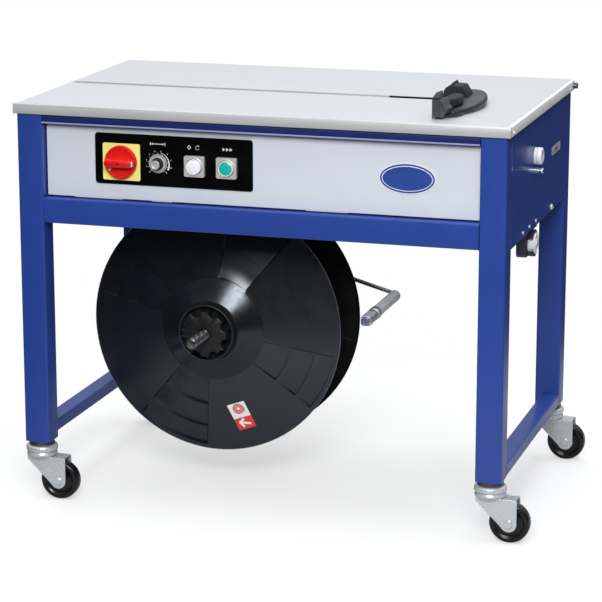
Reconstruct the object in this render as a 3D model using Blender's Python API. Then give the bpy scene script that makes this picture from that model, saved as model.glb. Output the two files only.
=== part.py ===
"""Semi-automatic strapping machine: a wheeled steel stand with a lifting work table, a control
panel, a strap reel with a brake arm, and the strapping drive inside the body.

Units are metres, +Z is up, the operator stands at -Y and the strap enters at +X.
Positions below are measured from the middle of the table, at floor level."""

import math

import bmesh
import bpy
from mathutils import Matrix, Vector

# ---- driving dimensions -----------------------------------------------------------------------
TABLE_L = 0.900
TABLE_D = 0.565
TABLE_H = 0.735
SHEET = 0.0015
GAP = 0.0003

EDGE_H = 0.019
EDGE_T = 0.0055
TOP_T = 0.0035
SLOT_Y = -0.0185
SLOT_W = 0.018
SLOT_WIDE_W = 0.024
SLOT_WIDE_X = 0.167
SLOT_END_X = 0.290

LEG_W = 0.047
LEG_D = 0.045
LEG_WALL = 0.002
LEG_OUT_X = TABLE_L / 2 - 0.0055
LEG_OUT_Y = TABLE_D / 2 - 0.004
LEG_X = LEG_OUT_X - LEG_W / 2
LEG_Y = LEG_OUT_Y - LEG_D / 2
LEG_BOTTOM = 0.110
BODY_TOP = 0.715

RAIL_T = 0.030
RAIL_BOTTOM = 0.5205
RAIL_TOP = 0.566
UPPER_RAIL_BOTTOM = 0.700
BODY_BOTTOM = 0.5165

STRETCHER_W = 0.033
STRETCHER_TOP = 0.133

PANEL_Y = -0.262
PANEL_T = 0.0015
PLATE_T = 0.002
CONTROL_X = -0.1555
CONTROL_Z = 0.6415
CONTROL_W = 0.293
CONTROL_H = 0.091
SWITCH_X = -0.2518
SWITCH_Z = 0.6365
SWITCH_W = 0.070
SWITCH_H = 0.066
KNOB_R = 0.030
KNOB_DEPTH = 0.022
DIAL_X = -0.184
RESET_X = -0.1146
FEED_X = -0.0555
BEZEL_W = 0.041
BEZEL_T = 0.008
BUTTON_R = 0.0138
BUTTON_TRAVEL = 0.003

HINGE_Y = 0.270
HINGE_Z = 0.7251
HINGE_R = 0.004
HINGE_OVERHANG = 0.008

WHEEL_R = 0.036
WHEEL_W = 0.024
TRAIL = 0.036
HEAD_R = 0.029
HEAD_BOTTOM = 0.080
HEAD_TOP = 0.1012
FORK_T = 0.0025
FORK_END_R = 0.0145
AXLE_R = 0.004

REEL_X = -0.139
REEL_Z = 0.304
REEL_R = 0.240
FLANGE_T = 0.003
FRONT_Y = -0.0865
REAR_Y = 0.0465
DRUM_R = 0.086
CONE_BASE_R = 0.098
CONE_TOP_R = 0.056
CONE_H = 0.042
STUD_R = 0.0122
BORE_R = 0.0129
STUD_TIP_Y = -0.240
SHAFT_R = 0.0125
HANGER_Y = 0.090

ARM_X = -0.030
ARM_Z = 0.402
ARM_END_X = 0.163
ARM_END_Z = 0.348
ARM_Y = 0.072
ARM_R = 0.004
SLEEVE_R = 0.0105
SLEEVE_REAR_Y = 0.062
SLEEVE_FRONT_Y = -0.075
ARM_TIP_Y = -0.150

INLET_Y = -0.050
INLET_Z = 0.489
INLET_R = 0.019
TENSION_Y = -0.050
TENSION_Z = 0.647
LOCK_Z = 0.621

DRIVE_X = 0.320
DRIVE_Z = 0.605
GEAR_X = 0.205
GEAR_Z = 0.605
FEED_ROLLER_Z = 0.668
WEB_HALF = 0.004
BELT_GAP = 0.0008

REACH_RIGHT = LEG_X + TRAIL + WHEEL_R
REACH_LEFT = LEG_OUT_X + HINGE_OVERHANG + 0.0055
SWITCH_FACE_Y = PANEL_Y - 2 * (PLATE_T + GAP)
KNOB_TIP_Y = SWITCH_FACE_Y - GAP - KNOB_DEPTH
CENTRE_X = (REACH_RIGHT - REACH_LEFT) / 2
CENTRE_Y = (TABLE_D / 2 + KNOB_TIP_Y) / 2


# ---- helpers ----------------------------------------------------------------------------------
def clear_scene():
    for old in list(bpy.data.objects):
        bpy.data.objects.remove(old, do_unlink=True)


def material(name, colour, roughness, metallic):
    mat = bpy.data.materials.new(name)
    mat.use_nodes = True
    shader = mat.node_tree.nodes["Principled BSDF"]
    shader.inputs["Base Color"].default_value = (*colour, 1.0)
    shader.inputs["Roughness"].default_value = roughness
    shader.inputs["Metallic"].default_value = metallic
    return mat


def add_box(bm, low, high):
    low, high = Vector(low), Vector(high)
    size = high - low
    place = Matrix.Translation((low + high) / 2) @ Matrix.Diagonal((*size, 1.0))
    bmesh.ops.create_cube(bm, size=1.0, matrix=place)


def add_prism(bm, outline, axis, low, high):
    """Extrudes an outline, given in the two axes left over, from low to high along axis."""
    def point(u, v, w):
        return {"x": (w, u, v), "y": (u, w, v), "z": (u, v, w)}[axis]
    face = bm.faces.new([bm.verts.new(point(u, v, low)) for u, v in outline])
    grown = bmesh.ops.extrude_face_region(bm, geom=[face])
    moved = [g for g in grown["geom"] if isinstance(g, bmesh.types.BMVert)]
    step = Vector(point(0.0, 0.0, high - low))
    bmesh.ops.translate(bm, verts=moved, vec=step)


def add_turned(bm, profile, axis, centre, segments):
    """Turns (position along axis, radius) points into a body; closed rings have no zero radius."""
    rings = []
    for along, radius in profile:
        if radius == 0.0:
            rings.append([bm.verts.new(turned_point(axis, centre, along, 0.0, 0.0))])
        else:
            rings.append([
                bm.verts.new(turned_point(axis, centre, along, radius, 2 * math.pi * i / segments))
                for i in range(segments)
            ])
    pairs = list(zip(rings, rings[1:]))
    if len(rings[0]) > 1:
        pairs.append((rings[-1], rings[0]))
    for a, b in pairs:
        for i in range(segments):
            j = (i + 1) % segments
            corners = [a[i % len(a)], a[j % len(a)], b[j % len(b)], b[i % len(b)]]
            unique = list(dict.fromkeys(corners))
            if len(unique) > 2:
                bm.faces.new(unique)


def turned_point(axis, centre, along, radius, angle):
    u, v = radius * math.cos(angle), radius * math.sin(angle)
    offset = {"x": (along, u, v), "y": (u, along, v), "z": (u, v, along)}[axis]
    return [c + o for c, o in zip(centre, offset)]


def finish_mesh(bm, name):
    bmesh.ops.recalc_face_normals(bm, faces=bm.faces)
    mesh = bpy.data.meshes.new(name)
    bm.to_mesh(mesh)
    bm.free()
    return mesh


def node(name, bm, mat, pivot=(0.0, 0.0, 0.0), smooth=False):
    """Makes a named sub-part whose origin sits on pivot, carried by the machine's empty."""
    bmesh.ops.translate(bm, verts=bm.verts, vec=-Vector(pivot))
    mesh = finish_mesh(bm, name)
    if smooth:
        mesh.shade_smooth()
        mesh.set_sharp_from_angle(angle=math.radians(35))
    mesh.materials.append(mat)
    obj = bpy.data.objects.new(name, mesh)
    bpy.context.scene.collection.objects.link(obj)
    obj.location = pivot
    obj.parent = machine
    return obj


def tool(name, bm):
    obj = bpy.data.objects.new(name, finish_mesh(bm, name))
    bpy.context.scene.collection.objects.link(obj)
    obj.parent = machine
    obj.hide_render = True
    obj.display_type = "WIRE"
    return obj


def boolean(obj, bm, operation, name):
    mod = obj.modifiers.new(name, "BOOLEAN")
    mod.operation = operation
    mod.solver = "EXACT"
    mod.object = tool(f"{obj.name}_{name}", bm)


def cut(obj, bm, name="cut"):
    boolean(obj, bm, "DIFFERENCE", name)


def unite(obj, bm, name="union"):
    boolean(obj, bm, "UNION", name)


def box_node(name, low, high, mat, pivot=(0.0, 0.0, 0.0)):
    bm = bmesh.new()
    add_box(bm, low, high)
    return node(name, bm, mat, pivot)


def turned_node(name, profile, axis, centre, segments, mat):
    bm = bmesh.new()
    add_turned(bm, profile, axis, centre, segments)
    return node(name, bm, mat, centre, smooth=True)


def rod(bm, axis, centre, low, high, radius, segments=16):
    profile = [(low, 0.0), (low, radius), (high, radius), (high, 0.0)]
    add_turned(bm, profile, axis, centre, segments)


def arc(cx, cy, radius, start, end, steps):
    span = [start + (end - start) * i / steps for i in range(steps + 1)]
    return [(cx + radius * math.cos(math.radians(a)), cy + radius * math.sin(math.radians(a)))
            for a in span]


# ---- frame ------------------------------------------------------------------------------------
def tube_between(name, low, high, open_axis, mat):
    """A rectangular tube, open at both ends along open_axis."""
    obj = box_node(name, low, high, mat)
    bm = bmesh.new()
    inner_low = [v + LEG_WALL for v in low]
    inner_high = [v - LEG_WALL for v in high]
    inner_low["xyz".index(open_axis)] = low["xyz".index(open_axis)] - 0.01
    inner_high["xyz".index(open_axis)] = high["xyz".index(open_axis)] + 0.01
    add_box(bm, inner_low, inner_high)
    cut(obj, bm, "hollow")
    return obj


def make_legs():
    for side, sx in (("left", -1), ("right", 1)):
        for end, sy in (("front", -1), ("rear", 1)):
            low = (sx * LEG_X - LEG_W / 2, sy * LEG_Y - LEG_D / 2, LEG_BOTTOM)
            high = (sx * LEG_X + LEG_W / 2, sy * LEG_Y + LEG_D / 2, BODY_TOP)
            tube_between(f"leg_{end}_{side}", low, high, "z", BLUE)


def make_stretchers():
    reach = LEG_Y - LEG_D / 2 - GAP
    for side, sx in (("left", -1), ("right", 1)):
        inner, outer = sorted((sx * (LEG_OUT_X - STRETCHER_W), sx * LEG_OUT_X))
        tube_between(f"stretcher_{side}", (inner, -reach, LEG_BOTTOM),
                     (outer, reach, STRETCHER_TOP), "y", BLUE)


def make_rails():
    reach = LEG_X - LEG_W / 2 - GAP
    inner_y = LEG_OUT_Y - RAIL_T
    tube_between("rail_front_lower", (-reach, -LEG_OUT_Y, RAIL_BOTTOM),
                 (reach, -inner_y, RAIL_TOP), "x", BLUE)
    tube_between("rail_front_upper", (-reach, -LEG_OUT_Y, UPPER_RAIL_BOTTOM + GAP),
                 (reach, -inner_y, BODY_TOP), "x", BLUE)
    tube_between("rail_rear_lower", (-reach, inner_y, RAIL_BOTTOM),
                 (reach, LEG_OUT_Y, RAIL_TOP), "x", BLUE)


def make_side_panels():
    reach = LEG_Y - LEG_D / 2 - GAP
    for side, sx in (("left", -1), ("right", 1)):
        inner, outer = sorted((sx * (LEG_OUT_X - SHEET), sx * LEG_OUT_X))
        box_node(f"side_panel_{side}", (inner, -reach, BODY_BOTTOM), (outer, reach, BODY_TOP),
                 BLUE)


def make_front_and_rear_panels():
    reach = LEG_X - LEG_W / 2 - GAP
    box_node("front_panel", (-reach, PANEL_Y, RAIL_TOP + GAP),
             (reach, PANEL_Y + PANEL_T, UPPER_RAIL_BOTTOM), SILVER)
    rear = box_node("rear_panel", (-reach, LEG_OUT_Y - SHEET, RAIL_TOP + GAP),
                    (reach, LEG_OUT_Y, BODY_TOP), BLUE)
    boss_r = 0.0061
    stem_y = LEG_OUT_Y - 0.0145
    for i, x in enumerate((-0.32, 0.32)):
        bm = bmesh.new()
        rod(bm, "x", (x, HINGE_Y, HINGE_Z), -0.02, 0.02, boss_r, 20)
        unite(rear, bm, f"boss{i}")
        bm = bmesh.new()
        add_box(bm, (x - 0.018, stem_y, BODY_TOP - 0.04), (x + 0.018, LEG_OUT_Y - 0.0035, HINGE_Z))
        unite(rear, bm, f"stem{i}")
        bm = bmesh.new()
        add_box(bm, (x - 0.018, LEG_OUT_Y - 0.004, BODY_TOP - 0.04),
                (x + 0.018, LEG_OUT_Y - 0.001, BODY_TOP - 0.01))
        unite(rear, bm, f"foot{i}")
    bm = bmesh.new()
    rod(bm, "x", (0.0, HINGE_Y, HINGE_Z), -0.36, 0.36, HINGE_R + GAP, 16)
    cut(rear, bm, "bore")


# ---- control panel ----------------------------------------------------------------------------
def square_on_panel(name, x, z, width, height, front, thickness, mat):
    return box_node(name, (x - width / 2, front, z - height / 2),
                    (x + width / 2, front + thickness, z + height / 2), mat)


def make_control_plates():
    front = PANEL_Y - GAP - PLATE_T
    square_on_panel("control_plate", CONTROL_X, CONTROL_Z, CONTROL_W, CONTROL_H, front, PLATE_T,
                    BLACK)
    square_on_panel("switch_plate", SWITCH_X, SWITCH_Z, SWITCH_W, SWITCH_H,
                    SWITCH_FACE_Y, PLATE_T, YELLOW)


def make_main_switch():
    base_y = SWITCH_FACE_Y - GAP
    bm = bmesh.new()
    add_turned(bm, [(0.0, 0.0), (0.0, KNOB_R), (-0.006, KNOB_R), (-0.008, KNOB_R - 0.002),
                    (-0.008, 0.0)], "y", (SWITCH_X, base_y, SWITCH_Z), 32)
    knob = node("main_switch_knob", bm, RED, (SWITCH_X, base_y, SWITCH_Z), smooth=True)
    grip = bmesh.new()
    add_box(grip, (-0.026, -KNOB_DEPTH, -0.0085), (0.026, -0.006, 0.0085))
    unite(knob, grip, "grip")
    knob.modifiers["grip"].object.location = (SWITCH_X, base_y, SWITCH_Z)


def make_length_dial():
    base_y = PANEL_Y - PLATE_T - 2 * GAP
    turned_node("length_dial", [(0.0, 0.0), (0.0, 0.0125), (-0.004, 0.0115), (-0.004, 0.0092),
                                (-0.014, 0.0085), (-0.015, 0.0075), (-0.015, 0.0)],
                "y", (DIAL_X, base_y, CONTROL_Z - 0.005), 24, BLACK)


def make_buttons():
    base_y = PANEL_Y - PLATE_T - 2 * GAP
    for name, x, mat in (("reset", RESET_X, WHITE), ("feed", FEED_X, TEAL)):
        z = CONTROL_Z - 0.0055
        bezel = square_on_panel(f"{name}_bezel", x, z, BEZEL_W, BEZEL_W, base_y - BEZEL_T,
                                BEZEL_T, BEIGE)
        bm = bmesh.new()
        rod(bm, "y", (x, base_y, z), -0.02, 0.02, BUTTON_R + 2 * GAP, 24)
        cut(bezel, bm, "bore")
        rear = -GAP - BUTTON_TRAVEL
        turned_node(f"{name}_button", [(rear, 0.0), (rear, BUTTON_R), (rear - 0.007, BUTTON_R),
                                       (rear - 0.0085, BUTTON_R - 0.0015), (rear - 0.009, 0.0)],
                    "y", (x, base_y, z), 24, mat)


# ---- table ------------------------------------------------------------------------------------
def make_table():
    reach_x = LEG_OUT_X
    front_y = -TABLE_D / 2 + EDGE_T + GAP
    top = box_node("table_plate", (-reach_x, front_y, TABLE_H - TOP_T),
                   (reach_x, TABLE_D / 2, TABLE_H), STEEL, (0.0, HINGE_Y, HINGE_Z))
    bm = bmesh.new()
    add_box(bm, (-TABLE_L, SLOT_Y - SLOT_W / 2, TABLE_H - 0.02),
            (SLOT_WIDE_X + 0.01, SLOT_Y + SLOT_W / 2, TABLE_H + 0.02))
    cut(top, bm, "slot")
    bm = bmesh.new()
    add_box(bm, (SLOT_WIDE_X, SLOT_Y - SLOT_WIDE_W / 2, TABLE_H - 0.02),
            (SLOT_END_X, SLOT_Y + SLOT_WIDE_W / 2, TABLE_H + 0.02))
    cut(top, bm, "slot_wide")
    low_z = TABLE_H - EDGE_H
    box_node("table_trim_front", (-TABLE_L / 2, -TABLE_D / 2, low_z),
             (TABLE_L / 2, -TABLE_D / 2 + EDGE_T, TABLE_H), ALUMINIUM, (0.0, HINGE_Y, HINGE_Z))
    for side, sx in (("left", -1), ("right", 1)):
        inner, outer = sorted((sx * (LEG_OUT_X + GAP), sx * TABLE_L / 2))
        strip = box_node(f"table_strip_{side}", (inner, front_y, low_z),
                         (outer, TABLE_D / 2, TABLE_H), ALUMINIUM, (0.0, HINGE_Y, HINGE_Z))
        bm = bmesh.new()
        rod(bm, "x", (0.0, HINGE_Y, HINGE_Z), -TABLE_L, TABLE_L, HINGE_R + GAP, 16)
        cut(strip, bm, "pivot")
        if side == "left":
            bm = bmesh.new()
            add_box(bm, (-TABLE_L, SLOT_Y - SLOT_W / 2, TABLE_H - 0.012),
                    (0.0, SLOT_Y + SLOT_W / 2, TABLE_H + 0.01))
            cut(strip, bm, "notch")


def make_hinge_rod():
    end = REACH_LEFT
    head = 0.0055
    neck = TABLE_L / 2 + GAP
    profile = [(-end, 0.0), (-end, head), (-neck, head), (-neck, HINGE_R), (neck, HINGE_R),
               (neck, head), (end, head), (end, 0.0)]
    turned_node("hinge_rod", profile, "x", (0.0, HINGE_Y, HINGE_Z), 16, ZINC)


def make_strap_guide():
    """A foot, an upright front cheek, an oval shoe and a rear block that turn the strap down."""
    base = TABLE_H + GAP
    bm = bmesh.new()
    foot = [(0.303, -0.2385), (0.3225, -0.2105), (0.319, -0.171), (0.3345, -0.166),
            (0.3345, 0.004), (0.262, 0.004), (0.262, -0.050), (0.303, -0.190)]
    add_prism(bm, foot, "z", base, base + 0.007)
    guide = node("strap_guide", bm, BLACK, (0.0, HINGE_Y, HINGE_Z))
    bm = bmesh.new()
    cheek = [(0.303, base + 0.003), (0.3225, base + 0.003), (0.322, 0.757), (0.326, 0.776),
             (0.318, 0.7865), (0.303, 0.776)]
    add_prism(bm, cheek, "y", -0.2385, -0.205)
    unite(guide, bm, "cheek")
    bm = bmesh.new()
    add_prism(bm, oval(0.319, -0.095, 0.050, 0.098, 22), "z", base + 0.005, base + 0.014)
    unite(guide, bm, "shoe")
    bm = bmesh.new()
    block = [(0.273, base + 0.010), (0.335, base + 0.010), (0.333, 0.758), (0.324, 0.774),
             (0.303, 0.776), (0.298, 0.783), (0.294, 0.775), (0.280, 0.766)]
    add_prism(bm, block, "y", -0.040, 0.000)
    unite(guide, bm, "block")
    bm = bmesh.new()
    arm = [(0.300, -0.207), (0.325, -0.207), (0.334, -0.150), (0.334, -0.060), (0.306, -0.060),
           (0.300, -0.140)]
    add_prism(bm, arm, "z", base + 0.012, 0.764)
    unite(guide, bm, "bridge")


def oval(cx, cy, half_w, half_d, steps):
    return [(cx + half_w * math.cos(2 * math.pi * i / steps),
             cy + half_d * math.sin(2 * math.pi * i / steps)) for i in range(steps)]


# ---- casters ----------------------------------------------------------------------------------
def make_casters():
    for side, sx in (("left", -1), ("right", 1)):
        for end, sy in (("front", -1), ("rear", 1)):
            make_caster(f"{end}_{side}", (sx * LEG_X, sy * LEG_Y, 0.0))


def make_caster(tag, foot):
    turned_node(f"caster_stem_{tag}", [(HEAD_TOP + GAP, 0.0), (HEAD_TOP + GAP, 0.024),
                                       (LEG_BOTTOM - GAP, 0.024), (LEG_BOTTOM - GAP, 0.014),
                                       (LEG_BOTTOM + 0.028, 0.014), (LEG_BOTTOM + 0.028, 0.0)],
                "z", foot, 16, ZINC)
    bm = bmesh.new()
    add_turned(bm, [(HEAD_BOTTOM, 0.0), (HEAD_BOTTOM, 0.027), (0.086, HEAD_R), (0.0985, HEAD_R),
                    (HEAD_TOP, 0.027), (HEAD_TOP, 0.0)], "z", foot, 20)
    fork = node(f"caster_fork_{tag}", bm, ZINC, foot, smooth=True)
    inner = WHEEL_W / 2 + 0.0018
    reach = TRAIL + FORK_END_R
    cheek = [(-0.0225, HEAD_BOTTOM + 0.003), (-0.0215, HEAD_BOTTOM - 0.005)]
    cheek += arc(TRAIL, WHEEL_R, FORK_END_R, 208, 360, 7)
    cheek += [(reach, HEAD_BOTTOM), (0.0235, HEAD_BOTTOM + 0.003)]
    for i, s in enumerate((-1, 1)):
        bm = bmesh.new()
        low, high = sorted((s * inner, s * (inner + FORK_T)))
        add_prism(bm, cheek, "y", low, high)
        unite(fork, bm, f"cheek{i}")
        fork.modifiers[f"cheek{i}"].object.location = foot
    bm = bmesh.new()
    add_box(bm, (-0.018, -inner - 0.001, HEAD_BOTTOM - 0.0025),
            (reach - 0.002, inner + 0.001, HEAD_BOTTOM + 0.0005))
    unite(fork, bm, "deck")
    fork.modifiers["deck"].object.location = foot
    bm = bmesh.new()
    rod(bm, "y", (TRAIL, 0.0, WHEEL_R), -inner - 0.006, inner + 0.006, AXLE_R, 12)
    unite(fork, bm, "axle")
    fork.modifiers["axle"].object.location = foot
    make_wheel(tag, foot)


def make_wheel(tag, foot):
    half = WHEEL_W / 2
    bore = AXLE_R + 0.0004
    hub = 0.009
    profile = [(-half - 0.001, bore), (-half - 0.001, hub), (-half + 0.002, 0.028),
               (-half, 0.0325), (-half + 0.004, WHEEL_R), (half - 0.004, WHEEL_R),
               (half, 0.0325), (half - 0.002, 0.028), (half + 0.001, hub), (half + 0.001, bore)]
    centre = (foot[0] + TRAIL, foot[1], WHEEL_R)
    turned_node(f"caster_wheel_{tag}", profile, "y", centre, 24, RUBBER)


# ---- reel -------------------------------------------------------------------------------------
def make_reel():
    centre = (REEL_X, 0.0, REEL_Z)
    face = FRONT_Y
    back = FRONT_Y + FLANGE_T
    cone_y = face - CONE_H
    turned_node("reel_flange_front", [
        (back, CONE_BASE_R), (back, REEL_R), (face - 0.001, REEL_R), (face, REEL_R - 0.004),
        (face, CONE_BASE_R), (cone_y, CONE_TOP_R), (cone_y, BORE_R),
        (cone_y + FLANGE_T, BORE_R), (cone_y + FLANGE_T, CONE_TOP_R - 0.002),
    ], "y", centre, 44, REEL_BLACK)
    turned_node("reel_flange_rear", [
        (REAR_Y, 0.0205), (REAR_Y, REEL_R - 0.004), (REAR_Y + 0.001, REEL_R),
        (REAR_Y - FLANGE_T, REEL_R), (REAR_Y - FLANGE_T, 0.0205),
    ], "y", centre, 44, REEL_BLACK)
    front, rear = back + GAP, REAR_Y - FLANGE_T - GAP
    turned_node("reel_core", [
        (STUD_TIP_Y, 0.0), (STUD_TIP_Y, STUD_R - 0.001), (STUD_TIP_Y + 0.001, STUD_R),
        (front, STUD_R), (front, DRUM_R), (rear, DRUM_R), (rear, DRUM_R - 0.005),
        (front + 0.006, DRUM_R - 0.005), (front + 0.006, 0.022), (rear, 0.022),
        (rear, BORE_R), (front + 0.012, BORE_R), (front + 0.012, 0.0),
    ], "y", centre, 28, REEL_BLACK)
    cup_y = cone_y - GAP
    turned_node("reel_collar", [
        (cup_y, BORE_R), (cup_y, 0.050), (cup_y - 0.004, 0.0545), (cup_y - 0.020, 0.0525),
        (cup_y - 0.020, 0.0475), (cup_y - 0.007, 0.0465), (cup_y - 0.007, BORE_R),
    ], "y", centre, 28, REEL_BLACK)
    make_nut(centre, cup_y - 0.007 - GAP)


def make_nut(centre, rear_y):
    """The clamping nut has eight rounded notches around its grip."""
    steps = 5
    outline = []
    for lobe in range(8):
        for k in range(steps):
            turn = 2 * math.pi * (lobe + k / steps) / 8
            radius = 0.0425 - (0.006 if k == steps - 1 else 0.0)
            outline.append((REEL_X + radius * math.cos(turn), REEL_Z + radius * math.sin(turn)))
    bm = bmesh.new()
    add_prism(bm, outline, "y", rear_y - 0.022, rear_y)
    nut = node("reel_nut", bm, REEL_BLACK, (centre[0], rear_y, centre[2]))
    bm = bmesh.new()
    rod(bm, "y", centre, rear_y - 0.05, rear_y + 0.01, BORE_R, 24)
    cut(nut, bm, "bore")


def make_reel_support():
    turned_node("reel_shaft", [
        (FRONT_Y + FLANGE_T + 0.016, 0.0), (FRONT_Y + FLANGE_T + 0.016, SHAFT_R),
        (REAR_Y + 0.004, SHAFT_R), (REAR_Y + 0.004, 0.022), (HANGER_Y - GAP, 0.022),
        (HANGER_Y - GAP, 0.0),
    ], "y", (REEL_X, 0.0, REEL_Z), 24, ZINC)
    left, right = REEL_X - 0.050, REEL_X + 0.050
    top = RAIL_TOP - 0.006
    outline = [(left, REEL_Z - 0.042), (right, REEL_Z - 0.042), (right, REEL_Z + 0.050),
               (ARM_X + 0.018, ARM_Z - 0.016), (ARM_X + 0.018, ARM_Z + 0.018),
               (right, ARM_Z + 0.050), (right, top), (left, top)]
    bm = bmesh.new()
    add_prism(bm, outline, "y", HANGER_Y, HANGER_Y + 0.006)
    hanger = node("reel_hanger", bm, BLUE)
    bm = bmesh.new()
    add_box(bm, (left + 0.001, HANGER_Y + 0.005, top - 0.0085),
            (right - 0.001, LEG_OUT_Y - RAIL_T - GAP, top - 0.0005))
    unite(hanger, bm, "shelf")
    for i, x in enumerate((left + 0.010, right - 0.014)):
        bm = bmesh.new()
        add_prism(bm, [(HANGER_Y + 0.004, top - 0.090), (HANGER_Y + 0.012, top - 0.090),
                       (HANGER_Y + 0.110, top - 0.006), (HANGER_Y + 0.004, top - 0.006)],
                  "x", x, x + 0.004)
        unite(hanger, bm, f"gusset{i}")
    bm = bmesh.new()
    rod(bm, "y", (ARM_X, 0.0, ARM_Z), ARM_Y - 0.009, HANGER_Y + 0.003, 0.006, 16)
    unite(hanger, bm, "pivot")


def make_brake_arm():
    pivot = (ARM_X, ARM_Y, ARM_Z)
    reach = Vector((ARM_END_X - ARM_X, 0.0, ARM_END_Z - ARM_Z))
    bm = bmesh.new()
    add_turned(bm, [(-0.008, 0.0064), (-0.008, 0.0125), (0.008, 0.0125), (0.008, 0.0064)],
               "y", pivot, 20)
    arm = node("brake_arm", bm, CHROME, pivot, smooth=True)
    bm = bmesh.new()
    rod(bm, "x", (0.0, 0.0, 0.0), 0.0095, reach.length, ARM_R, 12)
    unite(arm, bm, "rod")
    lever = arm.modifiers["rod"].object
    lever.location = pivot
    lever.rotation_euler = (0.0, math.atan2(-reach.z, reach.x), 0.0)
    bm = bmesh.new()
    add_turned(bm, [(ARM_Y + 0.007, 0.0), (ARM_Y + 0.007, 0.0065), (ARM_Y - 0.007, 0.0065),
                    (ARM_Y - 0.007, ARM_R), (SLEEVE_FRONT_Y - GAP, ARM_R),
                    (SLEEVE_FRONT_Y - GAP, 0.0098), (ARM_TIP_Y + 0.022, 0.0098),
                    (ARM_TIP_Y + 0.022, 0.008), (ARM_TIP_Y, 0.008), (ARM_TIP_Y, 0.0)],
               "y", (ARM_END_X, 0.0, ARM_END_Z), 20)
    unite(arm, bm, "axle")
    bore = ARM_R + 0.0005
    turned_node("arm_sleeve", [(SLEEVE_FRONT_Y, bore), (SLEEVE_FRONT_Y, SLEEVE_R),
                               (SLEEVE_REAR_Y, SLEEVE_R), (SLEEVE_REAR_Y, bore)],
                "y", (ARM_END_X, 0.0, ARM_END_Z), 20, SILVER)


# ---- right side -------------------------------------------------------------------------------
def make_strap_inlet():
    top = BODY_BOTTOM - GAP
    inner_x, outer_x = 0.419, 0.4372
    bm = bmesh.new()
    add_box(bm, (inner_x, INLET_Y - 0.025, 0.466), (outer_x, INLET_Y + 0.025, top))
    bracket = node("inlet_bracket", bm, BLACK)
    bm = bmesh.new()
    add_box(bm, (outer_x - 0.003, INLET_Y - 0.060, top - 0.006),
            (LEG_OUT_X - 0.004, INLET_Y + 0.060, top - 0.0005))
    unite(bracket, bm, "flange")
    bm = bmesh.new()
    rod(bm, "x", (0.0, INLET_Y, INLET_Z), outer_x - 0.002, LEG_OUT_X + 0.0085, AXLE_R, 12)
    unite(bracket, bm, "axle")
    bore = AXLE_R + 0.0005
    profile = [(-0.0065, bore), (-0.0065, INLET_R), (-0.004, INLET_R), (-0.002, INLET_R - 0.003),
               (0.002, INLET_R - 0.003), (0.004, INLET_R), (0.0065, INLET_R), (0.0065, bore)]
    turned_node("inlet_roller", profile, "x", (LEG_OUT_X + GAP, INLET_Y, INLET_Z), 24,
                WHITE)


def make_tension_controls():
    face = LEG_OUT_X + GAP
    turned_node("tension_dial", [(0.0, 0.0), (0.0, 0.0155), (0.009, 0.0155), (0.011, 0.0140),
                                 (0.013, 0.0140), (0.014, 0.0125), (0.014, 0.0)],
                "x", (face, TENSION_Y, TENSION_Z), 24, WHITE)
    bm = bmesh.new()
    rod(bm, "x", (face, TENSION_Y, LOCK_Z), 0.0, 0.015, 0.005, 16)
    knob = node("tension_lock", bm, ZINC, (face, TENSION_Y, LOCK_Z), smooth=True)
    bm = bmesh.new()
    add_box(bm, (face + 0.010, TENSION_Y - 0.0095, LOCK_Z - 0.0035),
            (face + 0.016, TENSION_Y + 0.0095, LOCK_Z + 0.0035))
    unite(knob, bm, "bar")


# ---- strapping drive --------------------------------------------------------------------------
def make_mechanism_frame():
    inner_y = LEG_OUT_Y - RAIL_T - GAP
    base_z = RAIL_BOTTOM + 0.010
    frame = box_node("mechanism_frame", (0.120, -inner_y, base_z), (0.380, inner_y, base_z + 0.006),
                     ZINC)
    bm = bmesh.new()
    add_box(bm, (0.130, -WEB_HALF, base_z + 0.004), (0.375, WEB_HALF, 0.696))
    unite(frame, bm, "web")
    for name, x, z in (("motor", DRIVE_X, DRIVE_Z), ("gear", GEAR_X, GEAR_Z),
                       ("feed", GEAR_X, FEED_ROLLER_Z)):
        bm = bmesh.new()
        rod(bm, "y", (x, 0.0, z), -0.02, 0.02, 0.0085, 16)
        cut(frame, bm, f"{name}_hole")


def make_drive():
    rear = WEB_HALF + GAP
    turned_node("drive_motor", [(rear, 0.0), (rear, 0.046), (rear + 0.012, 0.046),
                                (rear + 0.014, 0.043), (rear + 0.110, 0.043),
                                (rear + 0.112, 0.046), (rear + 0.125, 0.044), (rear + 0.125, 0.0)],
                "y", (DRIVE_X, 0.0, DRIVE_Z), 20, DARK)
    gearbox = box_node("gearbox", (GEAR_X - 0.045, rear, GEAR_Z - 0.050),
                       (GEAR_X + 0.045, rear + 0.085, 0.694), ALUMINIUM)
    mod = gearbox.modifiers.new("rounding", "BEVEL")
    mod.width = 0.004
    mod.segments = 2
    pulley_front, pulley_rear = -0.078, -0.056
    for name, x, z, radius in (("motor_pulley", DRIVE_X, DRIVE_Z, 0.020),
                               ("gearbox_pulley", GEAR_X, GEAR_Z, 0.032)):
        turned_node(name, [(pulley_front, 0.0), (pulley_front, radius + 0.002),
                           (pulley_front + 0.0015, radius + 0.002),
                           (pulley_front + 0.0015, radius), (pulley_rear - 0.0015, radius),
                           (pulley_rear - 0.0015, radius + 0.002), (pulley_rear, radius + 0.002),
                           (pulley_rear, 0.007), (WEB_HALF - GAP, 0.007), (WEB_HALF - GAP, 0.0)],
                    "y", (x, 0.0, z), 20, ALUMINIUM)
    turned_node("feed_roller", [(-0.034, 0.0), (-0.034, 0.020), (-0.008, 0.020), (-0.008, 0.007),
                                (WEB_HALF - GAP, 0.007), (WEB_HALF - GAP, 0.0)],
                "y", (GEAR_X, 0.0, FEED_ROLLER_Z), 24, RUBBER)
    make_belt(0.020, 0.032)


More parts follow.
